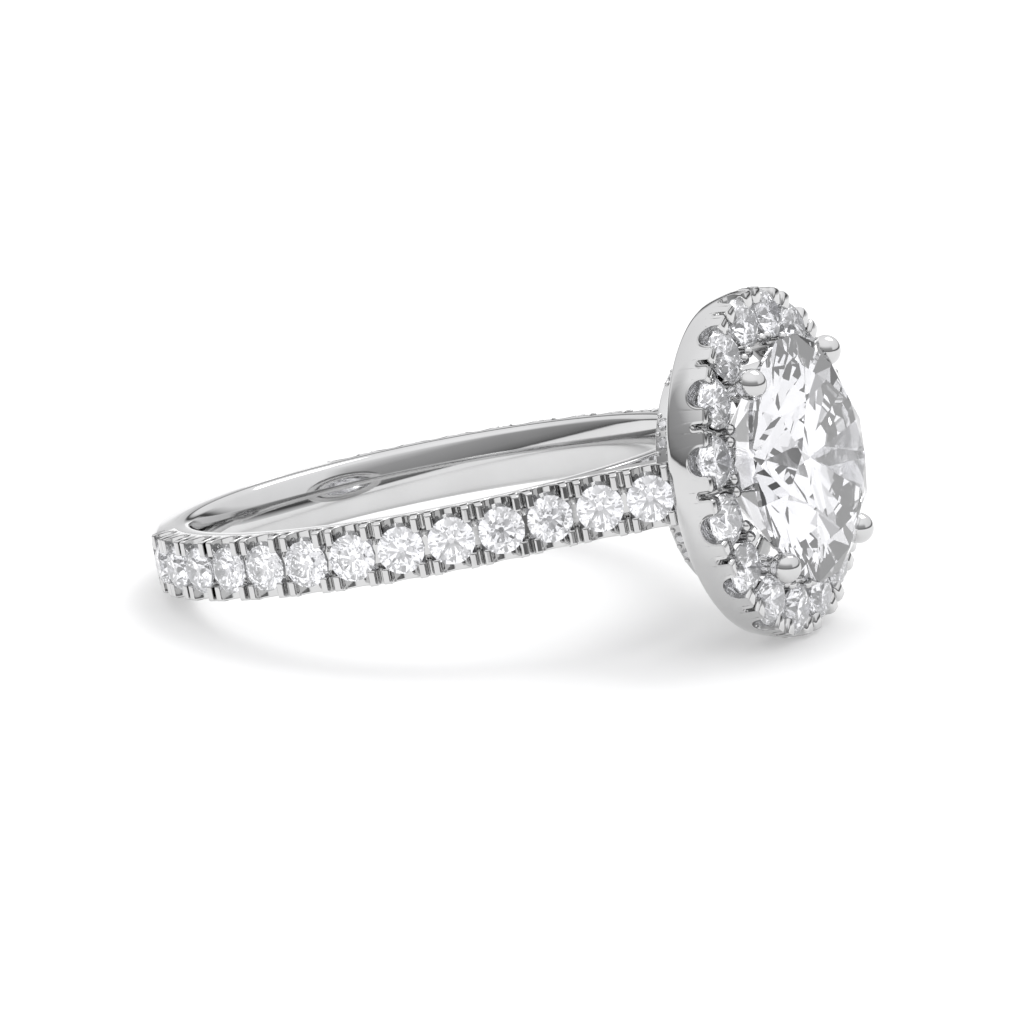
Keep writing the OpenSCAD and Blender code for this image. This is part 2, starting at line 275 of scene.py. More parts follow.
def add_node(tree: bpy.types.NodeTree, kind: str, links: dict | None = None,
             **settings: object) -> bpy.types.Node:
    """Adds a node to a tree.

    Args:
        tree: The tree.
        kind: The node's type.
        links: Input name or index to a socket, or to a fixed value.
        settings: Properties of the node.

    Returns:
        The node.
    """
    made = tree.nodes.new(kind)
    for key, value in settings.items():
        setattr(made, key, value)
    for key, value in (links or {}).items():
        if isinstance(value, bpy.types.NodeSocket):
            tree.links.new(value, made.inputs[key])
        else:
            made.inputs[key].default_value = value
    return made


class MaterialBuilder:
    """Small helper that starts a material with one Principled shader and adds nodes to it."""

    def __init__(self, name: str, fixed: dict[str, float | tuple[float, ...]]) -> None:
        """Starts the material.

        Args:
            name: The material's name.
            fixed: Name of a socket of the shader to a value that is the same all over.
        """
        self.material = bpy.data.materials.new(name)
        self.material.use_nodes = True
        self.tree = self.material.node_tree
        self.shader = self.tree.nodes["Principled BSDF"]
        for label, value in fixed.items():
            self.shader.inputs[label].default_value = value

    def clouds(self, scale: float, detail: float,
               stretch: tuple[float, float, float] = (1.0, 1.0, 1.0)) -> bpy.types.NodeSocket:
        """Adds a noise on object coordinates.

        Args:
            scale: Noise scale, per metre.
            detail: Octaves of the noise.
            stretch: Scale of each axis.

        Returns:
            The noise's output, from 0 to 1.
        """
        place = add_node(self.tree, "ShaderNodeTexCoord").outputs["Object"]
        mapping = add_node(self.tree, "ShaderNodeMapping", {"Vector": place, "Scale": stretch})
        noise = add_node(self.tree, "ShaderNodeTexNoise", {
            "Vector": mapping.outputs["Vector"], "Scale": scale, "Detail": detail})
        return noise.outputs["Fac"]

    def ranged(self, source: bpy.types.NodeSocket, limits: tuple[float, float]) -> bpy.types.NodeSocket:
        """Maps the middle of a noise to a range, its low places first."""
        values = dict(zip(("From Min", "From Max", "To Min", "To Max"), (*NOISE_MIDDLE, *limits)))
        return add_node(self.tree, "ShaderNodeMapRange", {"Value": source, **values}).outputs["Result"]

    def paint(self, tone: bpy.types.NodeSocket, channels: tuple[str, ...] = ("Red", "Green", "Blue")) -> None:
        """Feeds a value to the base colour.

        Args:
            tone: The value.
            channels: Channels that follow it; the others stay full.
        """
        colour = add_node(self.tree, "ShaderNodeCombineColor", {
            channel: tone if channel in channels else 1.0 for channel in ("Red", "Green", "Blue")})
        self.tree.links.new(colour.outputs["Color"], self.shader.inputs["Base Color"])

    def engrave(self, height: bpy.types.NodeSocket, depth: float, strength: float) -> None:
        """Feeds a bump to the shader's normal.

        Args:
            height: The bump's height, from 0 to 1.
            depth: Its depth, in metres.
            strength: Share of the bump that shows.
        """
        bump = add_node(self.tree, "ShaderNodeBump", {
            "Height": height, "Distance": depth, "Strength": strength})
        self.tree.links.new(bump.outputs["Normal"], self.shader.inputs["Normal"])


@dataclass(frozen=True)
class PolishedMetal(Finish):
    """White gold with a mirror polish and the fine wear of a wheel.

    Attributes:
        name: The material's name.
        tone: Brightness of the metal, duller and brighter places.
        roughness: Gloss of the polish, sharper and duller places.
        patches: Scale of the soft patches in tone and gloss, per metre.
        lines: Scale of the polishing lines, per metre.
        line_stretch: Scale of each axis for the lines.
        scratch: Depth of the polishing lines, in metres.
        scratch_share: Share of the lines that shows.
    """

    name: str
    tone: tuple[float, float] = (0.61, 0.66)
    roughness: tuple[float, float] = (0.035, 0.075)
    patches: float = 420.0
    lines: float = 6000.0
    line_stretch: tuple[float, float, float] = (0.12, 0.12, 1.0)
    scratch: float = 0.0000008
    scratch_share: float = 0.25

    def material(self) -> bpy.types.Material:
        """Makes the metal: soft patches in tone and gloss, and fine polishing lines.

        Returns:
            The material.
        """
        build = MaterialBuilder(self.name, {"Metallic": 1.0})
        patches = build.clouds(self.patches, 3.0)
        build.paint(build.ranged(patches, self.tone))
        build.tree.links.new(build.ranged(patches, self.roughness), build.shader.inputs["Roughness"])
        build.engrave(build.clouds(self.lines, 2.0, self.line_stretch), self.scratch, self.scratch_share)
        return build.material


@dataclass(frozen=True)
class ClearStone(Finish):
    """Cut and polished clear stone, with a painted glow from its emission.

    Attributes:
        name: The material's name.
        painted_glow: Painted glow: an emission that stands in for the light that fine facets send back from
            all round, which few bounces would lose.
        bend: Index of refraction.
        tint: Red and green of the body colour at the stone's greyest and clearest places.
        painted_glow_colour: Colour of the painted glow.
        patches: Scale of the faint cloud in the body colour, per metre.
    """

    name: str
    painted_glow: float
    bend: float = 2.417
    tint: tuple[float, float] = (0.96, 0.985)
    painted_glow_colour: tuple[float, float, float, float] = (0.97, 0.98, 1.0, 1.0)
    patches: float = 900.0

    def material(self) -> bpy.types.Material:
        """Makes the stone, with a very faint cloud in its body colour and a painted glow.

        Returns:
            The material.
        """
        # The emission is painted light: a faint glow that brightens the stone's facets, though the stone is
        # no lamp.
        build = MaterialBuilder(self.name, {
            "Transmission Weight": 1.0, "Emission Color": self.painted_glow_colour, "Emission Strength": self.painted_glow,
            "Roughness": 0.0, "IOR": self.bend})
        build.paint(build.ranged(build.clouds(self.patches, 1.0), self.tint), ("Red", "Green"))
        return build.material


@dataclass(frozen=True)
class PaleFloor(Finish):
    """Plain white paper under the ring.

    Attributes:
        name: The material's name.
        tone: Brightness of the paper, duller and brighter places.
        lit: Light that comes through the paper from below, which keeps the shadow pale.
        roughness: How dull the paper is.
        sheen: Strength of its reflection.
        patches: Scale of its unevenness, per metre.
    """

    name: str
    tone: tuple[float, float] = (0.68, 0.70)
    lit: float = 0.3
    roughness: float = 0.9
    sheen: float = 0.1
    patches: float = 30.0

    def material(self) -> bpy.types.Material:
        """Makes the floor, with a barely seen unevenness.

        Returns:
            The material.
        """
        build = MaterialBuilder(self.name, {
            "Emission Color": (1.0, 1.0, 1.0, 1.0), "Emission Strength": self.lit,
            "Roughness": self.roughness, "Specular IOR Level": self.sheen})
        build.paint(build.ranged(build.clouds(self.patches, 2.0), self.tone))
        return build.material


@dataclass
class BandSizes:
    """Sizes of the band and its shoulders, in metres.

    Attributes:
        width: Width of the band along the finger.
        thickness: Thickness from the finger hole to the prong tips.
        bridge_thickness: Thickness of the bridge under the head.
        bridge_edge: Rounding of the bridge's outer edges.
        step_back: How far a part that only fills in stands back from the one beside it.
        root: Thickness at which the plain parts begin, inside the inner ring.
        root_edge: Height and width of the slope on their inner edges.
        comfort_radius: Thickness of the inner ring, which runs all the way round.
        dome_radius: Radius of the gentle dome inside the inner ring.
        inner_edge: Rounding of the inner ring's edges.
        outer_slope: Width of the slope on the inner ring's outer edges.
        edge_radius: Rounding of the plain back's outer edges.
        split_angle: Angle from the head at which a shoulder leaves the ring's circle.
        bend_radius: Radius of the bend between the circle and a straight shoulder.
        shoulder_thickness: Thickness of a shoulder from its prong tips down.
        shoulder_at_halo: Distance from the head's axis at which the row meets the halo.
        shoulder_lap: How far a shoulder reaches into the inner ring and past its first angle.
        shoulder_drop: Depth of a shoulder's own metal under the stones' girdles.
        halo_drop: The same beside the halo.
        halo_lap: How far a shoulder reaches into the halo.
        stub_edge: Where its top steps down, before and behind the first cell's start.
        halo_lift: Distance from the finger hole to the halo's back.
        stone: Diameter of a stone.
        stone_gap: Metal between two stones.
        stones: Number of stones on a side.
        first_stone: Distance from the halo's back to the first stone's middle.
        girdle_drop: Depth of the stones' girdles below the prong tips.
        path_step: Distance between two points of the path that a rail follows.
        ring_steps: Steps round the finger ring.
        dome_points: Points on half the ring's dome, its middle with them.
        edge_points: Points on each of its inner roundings.
        round_points: Points on the outer roundings of the plain parts.
        arc_points: Points on a shoulder's inner arc.
    """

    width: float = 2.08 * MM
    thickness: float = 1.55 * MM
    bridge_thickness: float = 0.9 * MM
    bridge_edge: float = 0.1 * MM
    step_back: float = 0.002 * MM
    root: float = 0.6 * MM
    root_edge: tuple[float, float] = (0.08 * MM, 0.1 * MM)
    comfort_radius: float = 0.68 * MM
    dome_radius: float = 3.2 * MM
    inner_edge: float = 0.24 * MM
    outer_slope: float = 0.13 * MM
    edge_radius: float = 0.36 * MM
    split_angle: float = math.radians(38.5)
    bend_radius: float = 6.0 * MM
    shoulder_thickness: float = 1.6 * MM
    shoulder_at_halo: float = 4.1 * MM
    shoulder_lap: tuple[float, float] = (0.03 * MM, 0.02)
    shoulder_drop: float = 0.62 * MM
    halo_drop: float = 0.25 * MM
    halo_lap: float = 0.25 * MM
    stub_edge: tuple[float, float] = (0.02 * MM, 0.12 * MM)
    halo_lift: float = 3.0 * MM
    stone: float = 1.55 * MM
    stone_gap: float = 0.11 * MM
    stones: int = 13
    first_stone: float = 1.36 * MM
    girdle_drop: float = 0.2 * MM
    path_step: float = 0.04 * MM
    ring_steps: int = 360
    dome_points: int = 10
    edge_points: int = 9
    round_points: int = 8
    arc_points: int = 12

    @property
    def outer(self) -> float:
        """Radius of the band's outer surface."""
        return AXES.hole_radius + self.thickness

    @property
    def row(self) -> float:
        """Radius of the circle that the stones' girdles follow."""
        return self.outer - self.girdle_drop

    @property
    def pitch(self) -> float:
        """Distance between two stones along the row."""
        return self.stone + self.stone_gap

    @property
    def halo_back(self) -> float:
        """Distance from the finger hole's centre to the halo's back."""
        return AXES.hole_radius + self.halo_lift


def flat_direction(angle: float) -> np.ndarray:
    """Direction at an angle from the head, as a pair in the ring's plane."""
    return np.array([math.cos(angle), math.sin(angle)])


class StoneRow:
    """The line that a side's stones follow: straight shoulder, bend and the ring's circle.

    Attributes:
        sizes: The band's sizes.
        side: Which half of the band it is.
    """

    def __init__(self, sizes: BandSizes, side: Side) -> None:
        """Works out the line's stretches.

        Args:
            sizes: The band's sizes.
            side: Which half of the band it is.
        """
        self.sizes = sizes
        self.side = side
        leave = sizes.row * flat_direction(sizes.split_angle)
        reach = sizes.row + sizes.bend_radius
        self.foot = np.array([sizes.halo_back, sizes.shoulder_at_halo])
        self.run = (self.foot - leave) / np.linalg.norm(self.foot - leave)
        self.normal = np.array([-self.run[1], self.run[0]])
        self.normal_angle = math.atan2(self.normal[1], self.normal[0])
        self.turn = math.acos((float(leave @ self.normal) + sizes.bend_radius) / reach)
        self.tangent_angle = self.normal_angle - self.turn
        self.bend_centre = reach * flat_direction(self.tangent_angle)
        self.bend_start = self.bend_centre - sizes.bend_radius * self.normal
        self.straight = float(np.linalg.norm(self.foot - self.bend_start))
        self.bend = sizes.bend_radius * self.turn

    @property
    def length(self) -> float:
        """Length of the row from the halo's back to the end of its last cell."""
        return self.sizes.first_stone + (self.sizes.stones - 0.5) * self.sizes.pitch

    @property
    def end_angle(self) -> float:
        """Angle from the head at which the row's last cell ends."""
        return self.tangent_angle + (self.length - self.straight - self.bend) / self.sizes.row

    def flat_place(self, s: float) -> tuple[np.ndarray, np.ndarray]:
        """Finds the row at a distance from the halo's back, in the ring's plane.

        Args:
            s: Distance along the row.

        Returns:
            The point and the outward direction as pairs, whose second numbers are never negative.
        """
        if s < self.straight:
            return self.foot - s * self.run, flat_direction(self.normal_angle)
        if s < self.straight + self.bend:
            out = flat_direction(self.normal_angle - (s - self.straight) / self.sizes.bend_radius)
            return self.bend_centre - self.sizes.bend_radius * out, out
        out = flat_direction(self.tangent_angle + (s - self.straight - self.bend) / self.sizes.row)
        return self.sizes.row * out, out

    def place(self, s: float) -> tuple[np.ndarray, np.ndarray]:
        """Finds the row at a distance from the halo's back, in the ring's own axes."""
        point, out = (np.array([x, self.side.value * y, 0.0]) for x, y in self.flat_place(s))
        return point, out


def path_object(name: str, points: list[np.ndarray]) -> bpy.types.Object:
    """Makes a poly curve through points, for a node tree to follow.

    Args:
        name: The curve's name.
        points: Its points.

    Returns:
        The curve object.
    """
    curve = bpy.data.curves.new(name, "CURVE")
    curve.dimensions = "3D"
    spline = curve.splines.new("POLY")
    spline.points.add(len(points) - 1)
    for knot, point in zip(spline.points, points):
        knot.co = (*point, 1.0)
    return new_object(name, curve)


class TreeBuilder:
    """Small helper that adds and links nodes in a geometry tree."""

    def __init__(self, name: str, inputs: list[tuple[str, str]]) -> None:
        """Starts a tree with named inputs and one geometry output.

        Args:
            name: The tree's name.
            inputs: Name and socket type of each input.
        """
        self.tree = bpy.data.node_groups.new(name, "GeometryNodeTree")
        self.tree.is_modifier = True
        face = self.tree.interface
        face.new_socket("Geometry", in_out="OUTPUT", socket_type="NodeSocketGeometry")
        face.new_socket("Geometry", in_out="INPUT", socket_type="NodeSocketGeometry")
        for label, kind in inputs:
            face.new_socket(label, in_out="INPUT", socket_type=kind)
        self.start = self.tree.nodes.new("NodeGroupInput")
        self.end = self.tree.nodes.new("NodeGroupOutput")

    def node(self, kind: str, links: dict | None = None, **settings: object) -> bpy.types.Node:
        """Adds a node."""
        return add_node(self.tree, kind, links, **settings)

    def sum(self, operation: str, links: dict) -> bpy.types.NodeSocket:
        """Adds a vector sum and gives its result."""
        return self.node("ShaderNodeVectorMath", links, operation=operation).outputs[0]

    def finish(self, geometry: bpy.types.NodeSocket) -> bpy.types.NodeTree:
        """Ends the tree in Realize Instances and Set Material.

        Args:
            geometry: The geometry to end with.

        Returns:
            The tree.
        """
        real = self.node("GeometryNodeRealizeInstances", {"Geometry": geometry})
        dressed = self.node("GeometryNodeSetMaterial", {
            "Geometry": real.outputs["Geometry"], "Material": self.start.outputs["Material"]})
        self.tree.links.new(dressed.outputs["Geometry"], self.end.inputs["Geometry"])
        return self.tree


def cells_along_path_tree() -> bpy.types.NodeTree:
    """Builds the tree that repeats a straight wall cell and bends the row of cells on to a path.

    The cell's x runs along the path, its y outwards from the path and its z along the side axis.

    Returns:
        The tree.
    """
    build = TreeBuilder("cells_along_path", [
        ("Path", "NodeSocketObject"), ("Count", "NodeSocketInt"), ("Pitch", "NodeSocketFloat"),
        ("First", "NodeSocketFloat"), ("Side Axis", "NodeSocketVector"), ("Weld", "NodeSocketFloat"),
        ("Material", "NodeSocketMaterial")])
    given = build.start.outputs
    first = build.node("ShaderNodeCombineXYZ", {"X": given["First"]})
    step = build.node("ShaderNodeCombineXYZ", {"X": given["Pitch"]})
    stations = build.node("GeometryNodeMeshLine", {
        "Count": given["Count"], "Start Location": first.outputs[0],
        "Offset": step.outputs[0]}, mode="OFFSET")
    cells = build.node("GeometryNodeInstanceOnPoints", {
        "Points": stations.outputs[0], "Instance": given["Geometry"]})
    solid = build.node("GeometryNodeRealizeInstances", {"Geometry": cells.outputs[0]})
    place = build.node("GeometryNodeInputPosition")
    parts = build.node("ShaderNodeSeparateXYZ", {"Vector": place.outputs[0]})
    route = build.node(
        "GeometryNodeObjectInfo", {"Object": given["Path"]}, transform_space="ORIGINAL")
    sample = build.node("GeometryNodeSampleCurve", {
        "Curves": route.outputs["Geometry"], "Length": parts.outputs["X"]},
        mode="LENGTH", use_all_curves=True)
    out = build.sum("CROSS_PRODUCT", {0: sample.outputs["Tangent"], 1: given["Side Axis"]})
    unit = build.sum("NORMALIZE", {0: out})
    rise = build.sum("SCALE", {0: unit, "Scale": parts.outputs["Y"]})
    across = build.sum("SCALE", {0: given["Side Axis"], "Scale": parts.outputs["Z"]})
    offset = build.sum("ADD", {0: rise, 1: across})
    target = build.sum("ADD", {0: sample.outputs["Position"], 1: offset})
    bent = build.node("GeometryNodeSetPosition", {"Geometry": solid.outputs[0], "Position": target})
    joined = build.node("GeometryNodeMergeByDistance", {
        "Geometry": bent.outputs[0], "Distance": given["Weld"]})
    return build.finish(joined.outputs[0])


def pieces_on_stations_tree() -> bpy.types.NodeTree:
    """Builds the tree that sets a piece on each station, its z facing and its x along.

    Returns:
        The tree.
    """
    build = TreeBuilder("pieces_on_stations", [
        ("Piece", "NodeSocketObject"), ("Material", "NodeSocketMaterial")])
    given = build.start.outputs
    piece = build.node(
        "GeometryNodeObjectInfo", {"Object": given["Piece"]}, transform_space="ORIGINAL")
    facing, along = (
        build.node("GeometryNodeInputNamedAttribute", {"Name": name}, data_type="FLOAT_VECTOR")
        for name in ("facing", "along"))
    turn = build.node("FunctionNodeAxesToRotation", {
        "Primary Axis": facing.outputs["Attribute"], "Secondary Axis": along.outputs["Attribute"]},
        primary_axis="Z", secondary_axis="X")
    copies = build.node("GeometryNodeInstanceOnPoints", {
        "Points": given["Geometry"], "Instance": piece.outputs["Geometry"],
        "Rotation": turn.outputs[0]})
    return build.finish(copies.outputs[0])


class Trees:
    """The node trees, each made once."""

    def __init__(self) -> None:
        """Builds both trees."""
        self.cells = cells_along_path_tree()
        self.stations = pieces_on_stations_tree()


def run_tree(piece: bpy.types.Object, tree: bpy.types.NodeTree,
             values: dict[str, object]) -> bpy.types.Mesh:
    """Runs a tree on a piece and takes its result as a plain mesh.

    Args:
        piece: The object that the modifier is put on.
        tree: The tree.
        values: Input name to value.

    Returns:
        The plain mesh.
    """
    modifier = piece.modifiers.new(tree.name, "NODES")
    modifier.node_group = tree
    for item in tree.interface.items_tree:
        if item.in_out == "INPUT" and item.name in values:
            modifier[item.identifier] = values[item.name]
    bpy.context.view_layer.update()
    graph = bpy.context.evaluated_depsgraph_get()
    mesh = bpy.data.meshes.new_from_object(piece.evaluated_get(graph), depsgraph=graph)
    piece.modifiers.remove(modifier)
    return mesh


@dataclass
class Finishes:
    """The finishes' materials, each made once.

    Attributes:
        metal: The mount's white gold.
        stone: The centre stone's.
        small_stone: The small stones', with a stronger painted glow.
        floor: The floor's paper.
    """

    metal: bpy.types.Material
    stone: bpy.types.Material
    small_stone: bpy.types.Material
    floor: bpy.types.Material

    @classmethod
    def make(cls) -> "Finishes":
        """Makes every material.

        Returns:
            The finishes.
        """
        return cls(
            PolishedMetal("polished_white_gold").material(),
            # Both stone materials carry a painted glow from their emission, stronger on the small stones.
            ClearStone("clear_stone", painted_glow=0.012).material(),
            ClearStone("small_clear_stone", painted_glow=0.05).material(),
            PaleFloor("pale_floor").material())


@dataclass
class WallCell:
    """One repeat of a scalloped wall: an arch between two posts, and half a split at each end.

    Its upper edge is a line of places along the path (u) and heights up the wall (h).

    Attributes:
        pitch: Length of the cell.
        top: Height of the posts.
        arch_radius: Radius of the arch cut at the stone.
        arch_depth: Depth of the arch below the posts' tops.
        split_half: Half the width of the split between two cells.
        split_depth: Depth of that split.
        corner: Rounding of the posts' corners.
        arch_steps: Points on half the arch.
        brink: Distance from a post's side to where its top is kept flat, or none.
        split_round: Rounding of the split's bottom, as a share of half its width.
        split_sides: Places of the points down a split's side, as shares of its depth.
        corner_steps: Points on each rounding.
        evenness: How far even_columns spreads the columns by the edge's own length.
    """

    pitch: float
    top: float
    arch_radius: float
    arch_depth: float
    split_half: float
    split_depth: float
    corner: float
    arch_steps: int = 10
    brink: float = 0.0
    split_round: float = 0.9
    split_sides: tuple[float, ...] = (0.42, 0.54, 0.66, 0.78)
    corner_steps: int = 6
    evenness: float = 0.55

    def half_outline(self) -> Points:
        """Upper edge of the right half of the cell, from the arch's middle to the cell's end.

        Returns:
            The edge's points, as places along the path and heights.
        """
        low = self.top - self.split_depth
        centre = self.top - self.arch_depth + self.arch_radius
        reach = math.asin(min(1.0, (self.top - self.corner - centre) / self.arch_radius))
        angles = np.linspace(-math.pi / 2, reach, self.arch_steps)
        arch = self.arch_radius * np.stack([np.cos(angles), np.sin(angles)], axis=1) + (0.0, centre)
        start, edge, end = float(arch[-1, 0]), self.pitch / 2 - self.split_half, self.pitch / 2
        flat = [start + self.brink, edge - self.brink] if self.brink else []
        side = [self.top + (low - self.top) * t for t in self.split_sides]
        corners = [(start, self.top, self.corner), *((u, self.top, 0.0) for u in flat),
                   (edge, self.top, self.corner), *((edge, h, 0.0) for h in side),
                   (edge, low, self.split_half * self.split_round)]
        tail = rounded_line([tuple(arch[-1]), *(c[:2] for c in corners), (end, low)],
                            [c[2] for c in corners], self.corner_steps)
        return np.vstack([arch, tail[1:]])

    def outline(self) -> Points:
        """Upper edge of the whole cell, from its left end to its right end."""
        right = self.half_outline()
        return np.vstack([right[:0:-1] * (-1.0, 1.0), right])

    def even_columns(self, outline: Points) -> Points:
        """Spreads the outline's columns along the cell, keeping its ends and its middle.

        Args:
            outline: The cell's upper edge.

        Returns:
            Place of each column along the cell.
        """
        steps = np.linalg.norm(np.diff(outline, axis=0), axis=1)
        share = np.concatenate([[0.0], np.cumsum(steps)])
        share = share / share[-1]
        even = (share - 0.5) * self.pitch
        return self.evenness * even + (1 - self.evenness) * np.maximum.accumulate(outline[:, 0])


def grid_row(first: Points, second: Points | float, third: Points | float) -> Points:
    """One row of a cell's grid from its coordinates, of which the last two may be single numbers."""
    return np.stack([first, *(np.broadcast_to(part, first.shape) for part in (second, third))], axis=1)


@dataclass
class BandRail:
    """Stone-set part of the band: two scalloped rails and the floor with its pits between them.

    Heights are above the stones' girdles.

    Attributes:
        sizes: The band's sizes.
        rail_thickness: Thickness of a rail through the band's width.
        fillet: Rounding of the rail's edges.
        lip: How far the rail swells round an arch.
        lip_reach: Where that swelling starts to fade and ends, as shares of the arch's radius.
        brink: Width of the strip inside a rounding that keeps the post's top flat.
        roll: Height of the rounding by which the rail's outer face leans in towards its top.
        roll_depth: Depth of that rounding.
        roll_end: Share of the rounding's height that is used, so it ends before it lies level.
        pit_low: Height of the pit's floor under a stone.
        pit_slope: Length of the slope between a pit and a bridge.
        saddle: Height of the bridge between two stones.
        saddle_half: Half the width of that bridge.
        foot: Height at which the rail's side starts.
        keel: Height of the hidden underside.
        keel_inset: How far that underside stands back from the rail's side.
        side_shares: Heights of the rows up the rail's side, as shares of the way to its edge.
        round_shares: Places of the rows round an edge, as shares of a quarter turn.
        bed_share: Place of the row that flattens the floor, as a share of its half width.
    """

    sizes: BandSizes
    rail_thickness: float = 0.54 * MM
    fillet: float = 0.035 * MM
    lip: float = 0.012 * MM
    lip_reach: tuple[float, float] = (0.5, 1.1)
    brink: float = 0.03 * MM
    roll: float = 0.4 * MM
    roll_depth: float = 0.08 * MM
    roll_end: float = 0.97
    pit_low: float = -0.6 * MM
    pit_slope: float = 0.07 * MM
    saddle: float = -0.05 * MM
    saddle_half: float = 0.09 * MM
    foot: float = -0.66 * MM
    keel: float = -0.79 * MM
    keel_inset: float = 0.14 * MM
    side_shares: tuple[float, ...] = (0.35, 0.7, 0.88)
    round_shares: tuple[float, ...] = (0.0, 0.33, 0.67, 1.0)
    bed_share: float = 0.6

    @property
    def cell(self) -> WallCell:
        """The rail's repeat.

        Returns:
            The cell.
        """
        return WallCell(
            pitch=self.sizes.pitch, top=self.sizes.girdle_drop, arch_radius=0.49 * MM, arch_depth=0.7 * MM,
            split_half=0.1 * MM, split_depth=0.5 * MM, corner=0.075 * MM, brink=0.093 * MM)

    def lean(self, h: Points) -> Points:
        """How far the rail's outer face stands back at heights above the stones' girdles."""
        over = np.clip(h - (self.sizes.girdle_drop - self.roll), 0.0, self.roll_end * self.roll) / self.roll
        return self.roll_depth * (1 - np.sqrt(1 - over ** 2))

    def floor_height(self, u: Points) -> Points:
        """Height of the floor between the rails.

        Args:
            u: Places along the cell.

        Returns:
            The floor's height at each.
        """
        edge = self.sizes.pitch / 2 - self.saddle_half
        rise = smoothstep(np.abs(u), edge - self.pit_slope, edge)
        return self.pit_low + (self.saddle - self.pit_low) * rise

    def half_rows(self) -> list[Points]:
        """Rows of the cell from the underside up over one rail to the floor's middle, at positive z.

        Returns:
            The rows' points.
        """
        cell = self.cell
        outline = cell.outline()
        columns = cell.even_columns(outline)
        normals = line_normals(outline, smooth=2)
        inset = outline - normals * self.fillet
        inset[0, 0], inset[-1, 0] = outline[0, 0], outline[-1, 0]
        side = self.sizes.width / 2
        inner = side - self.rail_thickness
        start, end = (share * cell.arch_radius for share in self.lip_reach)
        swell = self.lip * (1 - smoothstep(np.abs(outline[:, 0]), start, end))
        rows = [grid_row(columns, self.keel, side - self.keel_inset), grid_row(columns, self.foot, side)]
        for t in self.side_shares:
            u = columns * (1 - t) + inset[:, 0] * t
            h = self.foot * (1 - t) + inset[:, 1] * t
            rows.append(grid_row(u, h, side + swell * t ** 3 - self.lean(h)))
        for a in np.array(self.round_shares) * math.pi / 2:
            edge = inset * (1 - math.sin(a)) + outline * math.sin(a)
            z = side + swell - self.fillet * (1 - math.cos(a)) - self.lean(edge[:, 1])
            rows.append(grid_row(edge[:, 0], edge[:, 1], z))
        for z in (z - self.brink, inner + self.fillet + self.brink):
            rows.append(grid_row(outline[:, 0], outline[:, 1], z))
        for a in np.array(self.round_shares) * math.pi / 2:
            edge = outline * math.cos(a) + inset * (1 - math.cos(a))
            rows.append(grid_row(edge[:, 0], edge[:, 1], inner + self.fillet * (1 - math.sin(a))))
        floor = self.floor_height(columns)
        low = np.minimum(floor, inset[:, 1])
        rows += [grid_row((inset[:, 0] + columns) / 2, (inset[:, 1] + low) / 2, inner),
                 grid_row(columns, low, inner),
                 grid_row(columns, floor, inner * self.bed_share), grid_row(columns, floor, 0.0)]
        return rows

    def cell_mesh(self) -> bpy.types.Mesh:
        """Mesh of one straight cell, whose two ends are open.

        Returns:
            The mesh.
        """
        rows = self.half_rows()
        mirrored = [row * (1.0, 1.0, -1.0) for row in rows[-2::-1]]
        return mesh_from_grid("band_cell", np.array(rows + mirrored), closed_rows=True, closed_columns=False)


@dataclass
class HaloSizes:
    """Sizes of the halo, in metres. Its stones lean outwards and stand a little higher than in the solids.

    Attributes:
        height: Height from the halo's back to its prong tips.
        back: Radius of the wall at its back.
        widest: Radius of the wall at its widest.
        bulge_at: Height of that widest place.
        hole: Radius of the hole under the centre stone.
        row: Radius of the circle of the stones' middles.
        girdle_at: Height of the girdles of stones that lie flat.
        stone: Diameter of a stone.
        stones: Number of stones.
        wall: Thickness of the outer wall.
        bead: Diameter of a bead on the inner edge.
        bead_at: Distance from the hole's edge out to a bead's middle.
        bead_apart: Distance along the hole's edge from the middle of a split to a bead.
        bead_rise: Height of a bead's middle above the leaning girdles.
        bead_stem: Length of the stem under a bead.
        lean: Angle by which the stones face outwards.
        stone_rise: How much higher the stones stand than flat ones.
        path_points: Points of the path that the wall follows.
    """

    height: float = 1.5 * MM
    back: float = 11.14 * MM / 2
    widest: float = 11.55 * MM / 2
    bulge_at: float = 1.05 * MM
    hole: float = 7.9 * MM / 2
    row: float = 9.78 * MM / 2
    girdle_at: float = 1.25 * MM
    stone: float = 1.7 * MM
    stones: int = 16
    wall: float = 0.55 * MM
    bead: float = 0.4 * MM
    bead_at: float = 0.17 * MM
    bead_apart: float = 0.2 * MM
    bead_rise: float = 0.03 * MM
    bead_stem: float = 0.5 * MM
    lean: float = math.radians(11)
    stone_rise: float = 0.12 * MM
    path_points: int = 3000

    def bed_rise(self, radius: Points | float) -> Points | float:
        """How far the bed of the leaning stones stands above its place under the stones' middles."""
        return (self.row - radius) * math.tan(self.lean)

    @property
    def step(self) -> float:
        """Angle between two stones."""
        return 2 * math.pi / self.stones

    @property
    def pitch(self) -> float:
        """Distance between two stones along their row."""
        return self.row * self.step


